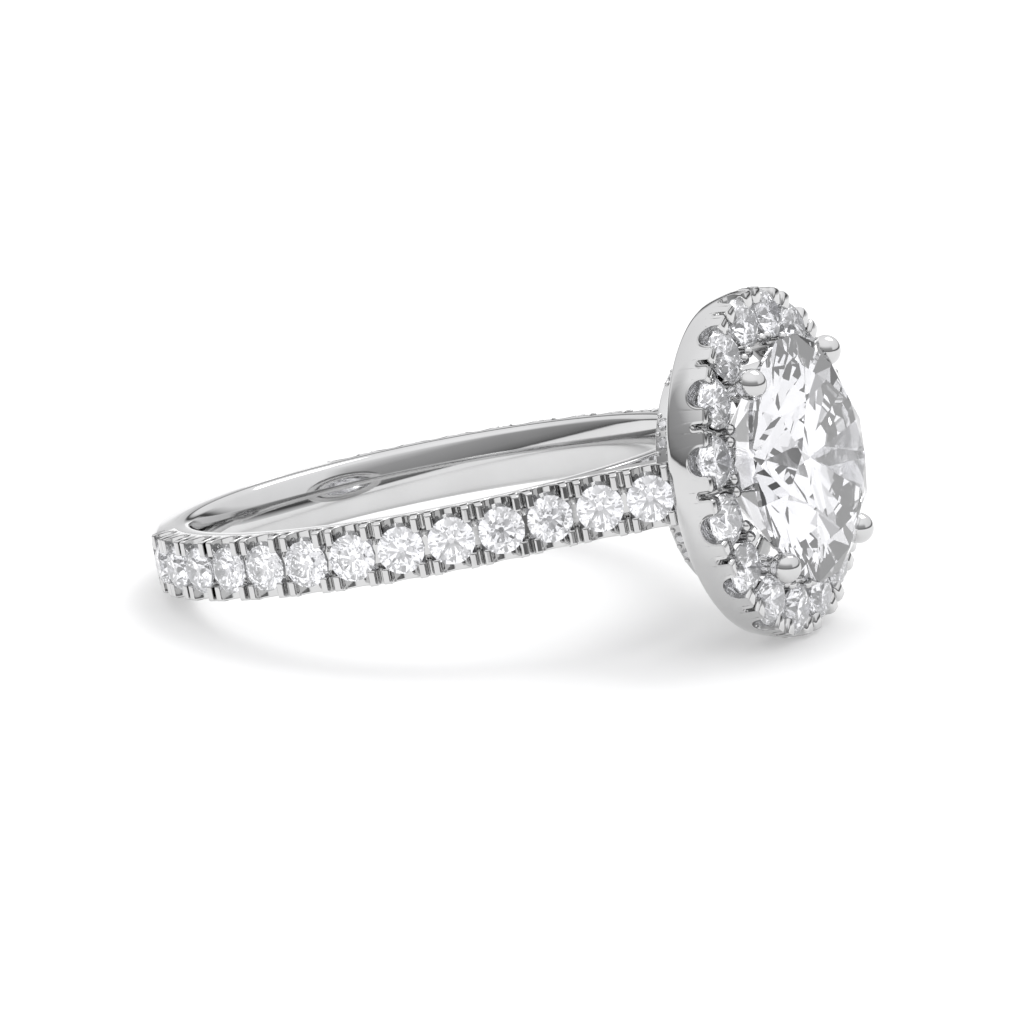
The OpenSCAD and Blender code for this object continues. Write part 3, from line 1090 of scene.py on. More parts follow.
@dataclass
class HaloWall:
    """Body of the halo: an outer wall with scalloped arches, the bed of the stones and the inner edge.

    Attributes:
        sizes: The halo's sizes.
        fillet: Rounding of the wall's edges.
        roll: Width of the rolled lip round an arch.
        roll_rise: Height of that lip.
        roll_shape: Rows of the lip, as shares of its width and of its height.
        brim: Width of the strip of plain wall kept smooth beside the lip.
        edge_shares: Rows over the wall's edge, as shares of the way from its rounding's foot.
        edge_fall: Share of the lip's height that is lost over that edge.
        bevel: Rounding of the wall's lower edge.
        bevel_shape: Middle row of that rounding, as shares of its width and of its height.
        belt: Height up to which the wall's rows stay level.
        belt_shares: Places of the rows up the wall, as shares of the way to the lip.
        pit: Depth of the pit under a stone's girdle.
        pit_end: Where a pit's slope starts and ends, as shares of half the cell.
        bridge_drop: Depth of the bridge between two stones below their girdles.
        bed_shares: Places of the bed's rows, as shares of the way from the hole to the wall.
    """

    sizes: HaloSizes
    fillet: float = 0.05 * MM
    roll: float = 0.1 * MM
    roll_rise: float = 0.033 * MM
    roll_shape: tuple[tuple[float, float], ...] = ((0.0, 0.0), (0.3, 0.35), (0.55, 0.9), (0.8, 1.0))
    brim: float = 0.02 * MM
    edge_shares: tuple[float, ...] = (0.5, 1.0)
    edge_fall: float = 0.8
    bevel: float = 0.07 * MM
    bevel_shape: tuple[float, float] = (0.3, 0.15)
    belt: float = 0.45 * MM
    belt_shares: tuple[float, ...] = (0.25, 0.5, 0.7, 0.85, 1.0)
    pit: float = 0.66 * MM
    pit_end: tuple[float, float] = (0.80, 0.88)
    bridge_drop: float = 0.06 * MM
    bed_shares: tuple[float, ...] = (0.66, 0.33, 0.06)

    @property
    def cell(self) -> WallCell:
        """The wall's repeat, measured on the wall's own radius.

        Returns:
            The cell.
        """
        return WallCell(
            pitch=self.sizes.widest * self.sizes.step, top=self.sizes.height, arch_radius=0.46 * MM,
            arch_depth=0.64 * MM, split_half=0.08 * MM, split_depth=0.46 * MM, corner=0.15 * MM,
            arch_steps=12)

    def outer_radius(self, h: Points) -> Points:
        """Radius of the outer wall.

        Args:
            h: Heights above the halo's back.

        Returns:
            The wall's radius at each.
        """
        swell = self.sizes.widest - self.sizes.back
        arc = (self.sizes.bulge_at ** 2 + swell ** 2) / (2 * swell)
        return self.sizes.widest - arc + np.sqrt(arc ** 2 - (h - self.sizes.bulge_at) ** 2)

    def floor_height(self, u: Points) -> Points:
        """Height of the bed between the wall and the inner edge.

        Args:
            u: Places along the cell, on the wall's radius.

        Returns:
            The bed's height at each.
        """
        start, end = (share * self.cell.pitch / 2 for share in self.pit_end)
        rise = smoothstep(np.abs(u), start, end)
        low = self.sizes.girdle_at - self.pit
        return low + (self.sizes.girdle_at - self.bridge_drop - low) * rise

    def rows(self) -> list[Points]:
        """Rows of the cell round its whole section, as place along, radius and height.

        Returns:
            The rows' points.
        """
        cell = self.cell
        outline = cell.outline()
        columns = cell.even_columns(outline)
        normals = line_normals(outline, smooth=4)
        brim = outline - normals * (self.roll + self.brim)
        deep = outline - normals * self.roll
        shallow = outline - normals * self.fillet
        for line in (brim, deep, shallow):
            line[0, 0], line[-1, 0] = outline[0, 0], outline[-1, 0]
        back, hole, bevel = self.sizes.back, self.sizes.hole, self.bevel
        inner = self.sizes.widest - self.sizes.wall
        rows = [grid_row(columns, back - bevel, 0.0),
                grid_row(columns, back - self.bevel_shape[0] * bevel, self.bevel_shape[1] * bevel),
                grid_row(columns, self.outer_radius(np.array(bevel)), bevel)]
        for t in self.belt_shares:
            u = columns * (1 - t ** 3) + brim[:, 0] * t ** 3
            h = bevel * (1 - t) + (self.belt * (1 - t * t) + brim[:, 1] * t * t) * t
            rows.append(grid_row(u, self.outer_radius(h), h))
        for share, rise in self.roll_shape:
            u, h = (deep * (1 - share) + outline * share).T
            rows.append(grid_row(u, self.outer_radius(h) + rise * self.roll_rise, h))
        for share in self.edge_shares:
            u, h = (shallow * (1 - share) + outline * share).T
            drop = self.fillet * share * share - self.roll_rise * (1 - self.edge_fall * share)
            rows.append(grid_row(u, self.outer_radius(h) - drop, h))
        bed = self.floor_height(columns)
        floor = np.minimum(bed + self.sizes.bed_rise(inner), shallow[:, 1])
        rows += [grid_row(outline[:, 0], inner + self.fillet, outline[:, 1]),
                 grid_row(shallow[:, 0], inner, shallow[:, 1]),
                 grid_row((shallow[:, 0] + columns) / 2, inner, (shallow[:, 1] + floor) / 2),
                 grid_row(columns, inner, floor)]
        for share in self.bed_shares:
            radius = hole + (inner - hole) * share
            rows.append(grid_row(columns, radius, bed + self.sizes.bed_rise(radius)))
        for radius, h in ((hole, bed + self.sizes.bed_rise(hole) - self.fillet), (hole, 0.5 * floor),
                          (hole, self.fillet), (hole + self.fillet, 0.0), ((hole + back) / 2, 0.0)):
            rows.append(grid_row(columns, radius, h))
        return rows

    def cell_mesh(self) -> bpy.types.Mesh:
        """Mesh of one straight cell: x along the stones' row, y outwards from it, z up the head.

        Returns:
            The mesh.
        """
        grid = np.array(self.rows())
        grid[:, :, 0] *= self.sizes.row / self.sizes.widest
        grid[:, :, 1] -= self.sizes.row
        return mesh_from_grid("halo_cell", grid, closed_rows=True, closed_columns=False)


@dataclass(frozen=True)
class Brilliant:
    """Round brilliant cut: table, stars, kites, halves, girdle and pavilion.

    Attributes:
        diameter: Diameter at the girdle.
        table: Diameter of the table.
        crown: Height of the crown.
        pavilion: Depth of the pavilion.
        girdle: Thickness of the girdle.
        keel: Radius at which the lower halves end, as a share of the stone's.
        star: Reach of the star facets, as a share of the way from the table to the girdle.
    """

    diameter: float
    table: float
    crown: float
    pavilion: float
    girdle: float
    keel: float = 0.23
    star: float = 0.5

    @classmethod
    def of_diameter(cls, diameter: float) -> "Brilliant":
        """Brilliant with the usual proportions."""
        return cls(diameter, *(share * diameter for share in USUAL_CUT))

    def ring(self, count: int, radius: float, height: float,
             turn: float = 0.0) -> list[tuple[float, float, float]]:
        """Points of one ring of corners, the first at an angle."""
        angles = [2 * math.pi * k / count + turn for k in range(count)]
        return [(radius * math.cos(a), radius * math.sin(a), height) for a in angles]

    def mesh(self, name: str) -> bpy.types.Mesh:
        """Makes the stone with its table up and its girdle's middle at the origin.

        Args:
            name: Name of the mesh.

        Returns:
            The mesh, shaded flat.
        """
        wide, flat, edge = self.diameter / 2, self.table / 2, self.girdle / 2
        half = math.pi / MAINS
        star_radius = flat + (wide - flat) * self.star
        star_height = edge + (wide - star_radius * math.cos(half)) * self.crown / (wide - flat)
        keel_radius = wide * self.keel
        keel_height = -edge - (wide - keel_radius * math.cos(half)) * self.pavilion / wide
        corners = (
            self.ring(MAINS, flat, edge + self.crown) + self.ring(MAINS, star_radius, star_height, half)
            + self.ring(2 * MAINS, wide, edge) + self.ring(2 * MAINS, wide, -edge)
            + self.ring(MAINS, keel_radius, keel_height, half) + [(0.0, 0.0, -edge - self.pavilion)])
        star, upper, lower, keel, culet = (n * MAINS for n in (1, 2, 4, 6, 7))
        faces: list[tuple[int, ...]] = [tuple(range(MAINS))]
        for k in range(MAINS):
            after, before = (k + 1) % MAINS, (k - 1) % MAINS
            at, mid, end = 2 * k, 2 * k + 1, (2 * k + 2) % (2 * MAINS)
            faces += [
                (k, star + k, after), (k, star + before, upper + at, star + k),
                (star + k, upper + at, upper + mid), (star + k, upper + mid, upper + end),
                (lower + at, keel + k, lower + mid), (lower + mid, keel + k, lower + end),
                (lower + at, keel + before, culet, keel + k)]
        for k in range(2 * MAINS):
            after = (k + 1) % (2 * MAINS)
            faces.append((upper + k, lower + k, lower + after, upper + after))
        made = bpy.data.meshes.new(name)
        made.from_pydata(corners, [], faces)
        clean(made, FINE_WELD)
        shade(made, smooth=False)
        return made


@dataclass
class Station:
    """A place on the ring where a repeated piece sits.

    Attributes:
        at: The place, in the ring's own axes.
        facing: Direction that the piece's z takes.
        along: Direction that the piece's x takes.
    """

    at: np.ndarray
    facing: np.ndarray
    along: np.ndarray


def on_head(radius: float, height: float, angle: float) -> np.ndarray:
    """Point round the head's axis, at an angle from the finger's direction towards the far side."""
    return np.array([height, radius * math.sin(angle), radius * math.cos(angle)])


def on_finger(radius: float, place: float, angle: float) -> np.ndarray:
    """Point round the finger's axis, at an angle from the head towards the far side."""
    return np.array([radius * math.cos(angle), radius * math.sin(angle), place])


class Maker:
    """Base of the sub-assemblies: sets pieces on stations and hands them to the frame."""

    def __init__(self, finishes: Finishes, trees: Trees) -> None:
        """Keeps the shared materials and trees."""
        self.finishes = finishes
        self.trees = trees

    def hand_over(self, name: str, mesh: bpy.types.Mesh, material: bpy.types.Material,
                  nodes: list[str]) -> None:
        """Turns a mesh to the row's axes and hands it over as a finished piece.

        Args:
            name: The piece's name.
            mesh: Its mesh, in the ring's own axes.
            material: Its material. Metal blends over its faces, and a stone's facets stay flat.
            nodes: Nodes of the construction model that it stands for.
        """
        mesh.transform(AXES.to_row)
        mesh.name = name
        is_metal = material is self.finishes.metal
        shade(mesh, smooth=is_metal)
        mesh.materials.clear()
        mesh.materials.append(material)
        piece = new_object(name, mesh)
        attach(piece, BODY)
        if nodes:
            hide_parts(*nodes)
        LOG.info("%s: %d faces", name, len(mesh.polygons))

    def set_on(self, stations: list[Station], piece_mesh: bpy.types.Mesh,
               material: bpy.types.Material) -> bpy.types.Mesh:
        """Sets a copy of a piece on each station, by the stations' tree.

        Args:
            stations: The places.
            piece_mesh: The piece, its z facing and its x along.
            material: Its material.

        Returns:
            One mesh with all the copies.
        """
        places = bpy.data.meshes.new("stations")
        places.from_pydata([tuple(s.at) for s in stations], [], [])
        for label in ("facing", "along"):
            layer = places.attributes.new(label, "FLOAT_VECTOR", "POINT")
            layer.data.foreach_set("vector", np.concatenate([getattr(s, label) for s in stations]))
        source = new_object("piece_source", piece_mesh)
        holder = new_object("station_holder", places)
        mesh = run_tree(holder, self.trees.stations, {"Piece": source, "Material": material})
        for spare in (source, holder):
            bpy.data.objects.remove(spare)
        return mesh

    def along_path(self, cell: bpy.types.Mesh, path: bpy.types.Object, count: int, pitch: float,
                   first: float, side_axis: Vector) -> bpy.types.Mesh:
        """Repeats a wall cell along a path, by the cells' tree.

        Args:
            cell: The straight cell.
            path: The curve to follow.
            count: Number of cells.
            pitch: Length of a cell.
            first: Distance along the path to the first cell's middle.
            side_axis: Direction of the cell's z.

        Returns:
            The wall as one closed mesh.
        """
        holder = new_object("cell_holder", cell)
        mesh = run_tree(holder, self.trees.cells, {
            "Path": path, "Count": count, "Pitch": pitch, "First": first, "Side Axis": side_axis,
            "Weld": WELD, "Material": self.finishes.metal})
        for spare in (holder, path):
            bpy.data.objects.remove(spare)
        clean(mesh, WELD)
        return mesh


def lathe(name: str, profile: Points, axis: Vector, start: float, end: float, steps: int) -> bpy.types.Mesh:
    """Turns a closed profile about an axis of the ring.

    Args:
        name: Name of the mesh.
        profile: Pairs of radius and place along the axis.
        axis: HEAD_AXIS or FINGER_AXIS.
        start: First angle.
        end: Last angle; a full turn closes the solid.
        steps: Number of steps round the turn.

    Returns:
        The solid's mesh.
    """
    full = math.isclose(end - start, 2 * math.pi)
    angles = np.linspace(start, end, steps + 1)[: steps if full else steps + 1]

    corner = on_head if axis is HEAD_AXIS else on_finger
    grid = np.array([[corner(radius, place, a) for a in angles] for radius, place in profile])
    mesh = mesh_from_grid(name, grid, closed_rows=True, closed_columns=full)
    clean(mesh, FINE_WELD)
    return mesh


def join(meshes: list[bpy.types.Mesh], name: str) -> bpy.types.Mesh:
    """Joins meshes into one, as they are.

    Args:
        meshes: The meshes.
        name: Name of the result.

    Returns:
        The joined mesh.
    """
    bm = bmesh.new()
    for mesh in meshes:
        bm.from_mesh(mesh)
    whole = bpy.data.meshes.new(name)
    bm.to_mesh(whole)
    bm.free()
    return whole


class Band(Maker):
    """The finger ring, its plain back and bridge, the stone-set rails and the shoulders.

    Attributes:
        sizes: The band's sizes.
    """

    sizes = BandSizes()

    def rail(self, side: Side) -> bpy.types.Mesh:
        """Rails and bed of one side's stones.

        Args:
            side: Which half of the band.

        Returns:
            The mesh.
        """
        s = self.sizes
        row = StoneRow(s, side)
        lead = 0.5 * s.pitch
        stations = np.arange(-lead, row.length + lead, s.path_step)
        path = path_object("row_path", [row.place(float(at))[0] for at in stations])
        return self.along_path(BandRail(s).cell_mesh(), path, s.stones, s.pitch,
                               lead + s.first_stone, FINGER_AXIS * side.value)

    def finger_ring(self) -> bpy.types.Mesh:
        """Inner ring that runs all the way round, gently domed inside and rounded at its edges.

        Returns:
            The mesh.
        """
        s = self.sizes
        hole, side = AXES.hole_radius, s.width / 2
        slope = math.asin((side - s.inner_edge) / (s.dome_radius - s.inner_edge))
        dome = [(hole + s.dome_radius * (1 - math.cos(a)), s.dome_radius * math.sin(a))
                for a in np.linspace(0, slope, s.dome_points)[1:]]
        centre = dome[-1][0] + s.inner_edge * math.cos(slope)
        edge = [(centre - s.inner_edge * math.cos(a), side - s.inner_edge * (1 - math.sin(a)))
                for a in np.linspace(slope, math.pi / 2, s.edge_points)[1:]]
        outer = hole + s.comfort_radius
        half = dome + edge + [(outer, side - s.step_back), (outer, side - s.outer_slope)]
        profile = [(r, -z) for r, z in reversed(half)] + [(hole, 0.0)] + half
        return lathe("finger_ring", np.array(profile), FINGER_AXIS, 0.0, 2 * math.pi, s.ring_steps)

    def sector(self, name: str, outer: float, edge: float, start: float, end: float,
               inset: float) -> bpy.types.Mesh:
        """Plain outer part of the ring over a range of angles.

        Args:
            name: Name of the mesh.
            outer: Its outer radius.
            edge: Rounding of its outer edges.
            start: First angle from the head.
            end: Last angle.
            inset: How far its sides stand back.

        Returns:
            The mesh.
        """
        s = self.sizes
        side = s.width / 2 - inset
        low = AXES.hole_radius + s.root
        half = [(outer - edge + edge * math.cos(a), side - edge + edge * math.sin(a))
                for a in np.linspace(0, math.pi / 2, s.round_points)]
        half += [(low + s.root_edge[0], side), (low, side - s.root_edge[1])]
        profile = [(r, -z) for r, z in reversed(half)] + half
        return lathe(name, np.array(profile), FINGER_AXIS, start, end, round(math.degrees(end - start)))

    def shoulder(self, side: Side) -> bpy.types.Mesh:
        """Bar under a side's first stones, from the ring's circle to the halo.

        Args:
            side: Which half of the band.

        Returns:
            The mesh.
        """
        s = self.sizes
        row = StoneRow(s, side)
        join_radius = AXES.hole_radius + s.comfort_radius + s.shoulder_lap[0]
        inner = s.girdle_drop - s.shoulder_thickness
        depth = float(row.normal @ row.foot) + inner
        turns = np.linspace(row.normal_angle - (row.tangent_angle + s.shoulder_lap[1]),
                            math.acos(depth / join_radius), s.arc_points)
        outline = [join_radius * flat_direction(row.normal_angle - a) for a in turns]
        stub = s.first_stone - s.pitch / 2
        outline += [row.foot + along * row.run + height * row.normal for along, height in (
            (s.halo_lap, inner), (s.halo_lap, -s.halo_drop), (-(stub + s.stub_edge[0]), -s.halo_drop))]
        for at in (stub + s.stub_edge[1], row.straight, row.straight + row.bend / 2,
                   row.straight + row.bend):
            point, out = row.flat_place(at)
            outline.append(point - s.shoulder_drop * out)
        half_width = s.width / 2 - 2 * s.step_back
        layers = [[(x, side.value * y, z) for x, y in outline] for z in (-half_width, half_width)]
        mesh = mesh_from_grid("shoulder", np.array(layers), closed_rows=False, closed_columns=True)
        clean(mesh, FINE_WELD)
        return mesh

    def build(self) -> None:
        """Builds the band as three pieces."""
        s = self.sizes
        end = StoneRow(s, Side.FAR).end_angle
        self.hand_over("finger_ring", self.finger_ring(), self.finishes.metal, ["mount"])
        plain = [
            self.sector("plain_back", s.outer, s.edge_radius, end, 2 * math.pi - end, 0.0),
            self.sector("bridge", AXES.hole_radius + s.bridge_thickness, s.bridge_edge,
                        -s.split_angle, s.split_angle, 3 * s.step_back),
            *(self.shoulder(side) for side in Side)]
        self.hand_over("plain_back_and_shoulders", join(plain, "plain"), self.finishes.metal, [])
        for side in Side:
            self.hand_over(f"band_rails_{side.name.lower()}", self.rail(side), self.finishes.metal, [])


class BandStones(Maker):
    """The stones of the band."""

    sizes = BandSizes()

    def build(self) -> None:
        """Builds each side's stones as one piece."""
        stone = Brilliant.of_diameter(self.sizes.stone)
        for side in Side:
            row = StoneRow(self.sizes, side)
            places = [row.place(self.sizes.first_stone + k * self.sizes.pitch)
                      for k in range(self.sizes.stones)]
            stations = [Station(at, out, np.cross(out, np.array(FINGER_AXIS))) for at, out in places]
            mesh = self.set_on(stations, stone.mesh("band_stone"), self.finishes.small_stone)
            name = side.name.lower()
            nodes = [f"band_stone_{name}_{k}" for k in range(1, self.sizes.stones + 1)]
            self.hand_over(f"band_stones_{name}", mesh, self.finishes.small_stone, nodes)


class Halo(Maker):
    """The halo's wall and bed, its stones and the beads on its inner edge.

    Attributes:
        sizes: The halo's sizes.
        band: The band's sizes.
    """

    sizes = HaloSizes()
    band = BandSizes()

    def wall(self) -> bpy.types.Mesh:
        """Wall and bed, bent round the head's axis.

        Returns:
            The mesh.
        """
        s = self.sizes
        lead = s.step / 4
        turns = np.linspace(2 * math.pi + lead, -lead, s.path_points)
        path = path_object("halo_path", [on_head(s.row, self.band.halo_back, float(a)) for a in turns])
        return self.along_path(HaloWall(s).cell_mesh(), path, s.stones, s.pitch,
                               (lead + s.step / 2) * s.row, HEAD_AXIS)

    def beads(self) -> bpy.types.Mesh:
        """Pairs of beads between the stones, where no claw stands.

        Returns:
            One mesh with all the beads.
        """
        s = self.sizes
        stations = []
        quarter = s.stones // 4
        for k in range(s.stones):
            if k % quarter == quarter // 2:
                continue
            angle = k * s.step
            for way in (-1, 1):
                turn = angle + way * s.bead_apart / s.hole
                radius = s.hole + s.bead_at
                rise = s.girdle_at + s.stone_rise + s.bed_rise(radius) + s.bead_rise
                at = on_head(radius, self.band.halo_back + rise, turn)
                around = on_head(1.0, 0.0, turn + math.pi / 2)
                stations.append(Station(at, np.array(HEAD_AXIS), around))
        return self.set_on(stations, bead_mesh(s.bead / 2, s.bead_stem), self.finishes.metal)

    def build(self) -> None:
        """Builds the wall, the stones and the beads."""
        s = self.sizes
        self.hand_over("halo_wall", self.wall(), self.finishes.metal, [])
        self.hand_over("halo_beads", self.beads(), self.finishes.metal, [])
        stations = []
        for k in range(s.stones):
            angle = (k + 0.5) * s.step
            at = on_head(s.row, self.band.halo_back + s.girdle_at + s.stone_rise, angle)
            out = on_head(1.0, 0.0, angle)
            facing = np.array(HEAD_AXIS) * math.cos(s.lean) + out * math.sin(s.lean)
            stations.append(Station(at, facing, on_head(1.0, 0.0, angle + math.pi / 2)))
        stone = Brilliant.of_diameter(s.stone)
        mesh = self.set_on(stations, stone.mesh("halo_stone"), self.finishes.small_stone)
        nodes = [f"halo_stone_{k}" for k in range(1, s.stones + 1)]
        self.hand_over("halo_stones", mesh, self.finishes.small_stone, nodes)


def bead_mesh(radius: float, stem: float) -> bpy.types.Mesh:
    """Bead on a short stem, its z outwards.

    Args:
        radius: The bead's radius.
        stem: Length of the stem below the bead's middle.

    Returns:
        The mesh.
    """
    profile = [(0.0, -stem), (radius * STEM_SHARE, -stem)]
    profile += [(radius * math.cos(a), radius * math.sin(a))
                for a in np.linspace(STEM_ANGLE, math.pi / 2, BEAD_POINTS)]
    return turned_mesh("bead", profile, BEAD_STEPS)


def turned_mesh(name: str, profile: list[tuple[float, float]], steps: int) -> bpy.types.Mesh:
    """Turns an open profile that starts and ends on the z axis.

    Args:
        name: Name of the mesh.
        profile: Pairs of radius and height.
        steps: Number of steps round the turn.

    Returns:
        The solid's mesh.
    """
    angles = np.linspace(0, 2 * math.pi, steps, endpoint=False)
    grid = [[(r * math.cos(a), r * math.sin(a), h) for a in angles] for r, h in profile]
    mesh = mesh_from_grid(name, np.array(grid), closed_rows=False, closed_columns=True)
    clean(mesh, FINE_WELD)
    return mesh


@dataclass
class HeadSizes:
    """Sizes of the centre stone, its claws and the collar, in metres and radians.

    Attributes:
        stone: Width of the centre stone.
        table: Width of its table.
        crown: Height of its crown.
        pavilion: Depth of its pavilion.
        girdle: Thickness of its girdle.
        keel: Radius at which its lower halves end, as a share of the stone's.
        stone_turn: Its turn about the head's axis.
        girdle_at: Height of its girdle over the halo's back.
        claw: Radius of a claw.
        tip: Radius of a claw's ball.
        tip_at: Distance of the ball's middle from the head's axis.
        foot_at: Distance of a claw's foot from that axis.
        neck: Depth at which the ball leaves the claw, as a share of the ball's radius.
        taper: Narrowing of a claw: distance from the foot as a share of its run, distance from the
            ball's middle as a share of the ball's radius, and the radius there as a share of the claw's.
        collar: Outer radius of the collar.
        collar_wall: Thickness of the collar.
        collar_height: Its height.
        collar_gap: Room between the collar and the halo's back.
        collar_edge: Rounding of its edges.
        collar_stone: Width of a collar stone.
        collar_pitch: Angle between two collar stones.
        collar_places: Places of the collar stones on each side of the head, as counts of that angle.
        bead: Radius of a collar bead.
        bead_stem: Length of a bead's stem.
        bead_sink: How far a bead's middle lies inside the collar's face.
        bead_rise: Distance of the beads from the collar's middle, as a share of its height.
        collar_steps: Steps round the collar.
        collar_points: Points on each of its roundings.
        claw_steps: Steps round a claw.
        ball_points: Points on a claw's ball.
    """

    stone: float = 8.2 * MM
    table: float = 4.9 * MM
    crown: float = 0.95 * MM
    pavilion: float = 3.53 * MM
    girdle: float = 0.15 * MM
    keel: float = 0.22
    stone_turn: float = math.pi / 16
    girdle_at: float = 2.27 * MM
    claw: float = 0.36 * MM
    tip: float = 0.52 * MM
    tip_at: float = 4.29 * MM
    foot_at: float = 3.55 * MM
    neck: float = 0.78
    taper: tuple[tuple[float, float, float], ...] = ((0.4, 0.0, 1.0), (1.0, 1.1, 0.96), (1.0, 0.85, 0.93))
    collar: float = 7.9 * MM / 2
    collar_wall: float = 0.8 * MM
    collar_height: float = 0.6 * MM
    collar_gap: float = 0.65 * MM
    collar_edge: float = 0.08 * MM
    collar_stone: float = 0.45 * MM
    collar_pitch: float = math.radians(9.5)
    collar_places: tuple[int, ...] = (0, 1, 2, 3, 6, 7)
    bead: float = 0.1 * MM
    bead_stem: float = 0.15 * MM
    bead_sink: float = 0.02 * MM
    bead_rise: float = 0.3
    collar_steps: int = 180
    collar_points: int = 5
    claw_steps: int = 40
    ball_points: int = 16


class Head(Maker):
    """The centre stone, its four claws and the collar under the halo.

    Attributes:
        sizes: The head's sizes.
        band: The band's sizes.
    """

    sizes = HeadSizes()
    band = BandSizes()

    @property
    def girdle(self) -> float:
        """Place of the centre stone's girdle along the head's axis."""
        return self.band.halo_back + self.sizes.girdle_at

    @property
    def collar_top(self) -> float:
        """Place of the collar's upper face along the head's axis."""
        return self.band.halo_back - self.sizes.collar_gap

    def claw_mesh(self, run: float) -> bpy.types.Mesh:
        """One claw along z, from its foot to its ball.

        Args:
            run: Distance from the foot to the ball's middle.

        Returns:
            The mesh.
        """
        s = self.sizes
        profile = [(0.0, 0.0), (s.claw, 0.0)]
        profile += [(s.claw * width, run * along - back * s.tip) for along, back, width in s.taper]
        profile += [(s.tip * math.cos(a), run + s.tip * math.sin(a))
                    for a in np.linspace(-math.asin(s.neck), math.pi / 2, s.ball_points)]
        return turned_mesh("claw", profile, s.claw_steps)

    def claws(self) -> bpy.types.Mesh:
        """Four claws, set on the collar by the stations' tree.

        Returns:
            One mesh with all four.
        """
        s = self.sizes
        foot_height = self.collar_top - s.collar_height / 2
        stations = []
        for c in range(4):
            angle = math.radians(45 + 90 * c)
            foot = on_head(s.foot_at, foot_height, angle)
            tip = on_head(s.tip_at, self.girdle, angle)
            facing = (tip - foot) / np.linalg.norm(tip - foot)
            stations.append(Station(foot, facing, on_head(1.0, 0.0, angle + math.pi / 2)))
        run = math.hypot(s.tip_at - s.foot_at, self.girdle - foot_height)
        return self.set_on(stations, self.claw_mesh(run), self.finishes.metal)

    def collar_angles(self) -> list[float]:
        """Angles round the head at which the collar has a stone.

        Returns:
            The angles.
        """
        s = self.sizes
        return [base + way * place * s.collar_pitch for base in (0.0, math.pi)
                for place in s.collar_places for way in ((-1, 1) if place else (1,))]

    def collar(self) -> bpy.types.Mesh:
        """Collar with rounded edges, and beads between its stones.

        Returns:
            One mesh with the collar and its beads.
        """
        s = self.sizes
        low, high = self.collar_top - s.collar_height, self.collar_top
        middle = (low + high) / 2
        inner = s.collar - s.collar_wall
        profile = rounded_line(
            [(inner, middle), (inner, low), (s.collar, low), (s.collar, high), (inner, high),
             (inner, middle + SEAM)], [s.collar_edge] * 4, s.collar_points)
        ring = lathe("collar", profile, HEAD_AXIS, 0.0, 2 * math.pi, s.collar_steps)
        turns = {round(angle + way * s.collar_pitch / 2, 5)
                 for angle in self.collar_angles() for way in (-1, 1)}
        stations = [
            Station(on_head(s.collar - s.bead_sink, middle + way * s.bead_rise * s.collar_height, turn),
                    on_head(1.0, 0.0, turn), np.array(HEAD_AXIS))
            for turn in sorted(turns) for way in (-1, 1)]
        beads = self.set_on(stations, bead_mesh(s.bead, s.bead_stem), self.finishes.metal)
        return join([ring, beads], "collar")

    def build(self) -> None:
        """Builds the head's pieces."""
        s = self.sizes
        self.hand_over("claws", self.claws(), self.finishes.metal, [])
        self.hand_over("gallery_collar", self.collar(), self.finishes.metal, [])
        height = self.collar_top - s.collar_height / 2
        stations = [Station(on_head(s.collar, height, angle), on_head(1.0, 0.0, angle), np.array(HEAD_AXIS))
                    for angle in self.collar_angles()]
        tiny = Brilliant.of_diameter(s.collar_stone)
        mesh = self.set_on(stations, tiny.mesh("collar_stone"), self.finishes.small_stone)
        self.hand_over("collar_stone_ring", mesh, self.finishes.small_stone, ["collar_stones"])
        cut = Brilliant(s.stone, s.table, s.crown, s.pavilion, s.girdle, s.keel)
        seat = Station(on_head(0.0, self.girdle, 0.0), np.array(HEAD_AXIS), on_head(1.0, 0.0, s.stone_turn))
        centre = self.set_on([seat], cut.mesh("centre_stone"), self.finishes.stone)
        self.hand_over("centre_brilliant", centre, self.finishes.stone, ["centre_stone"])


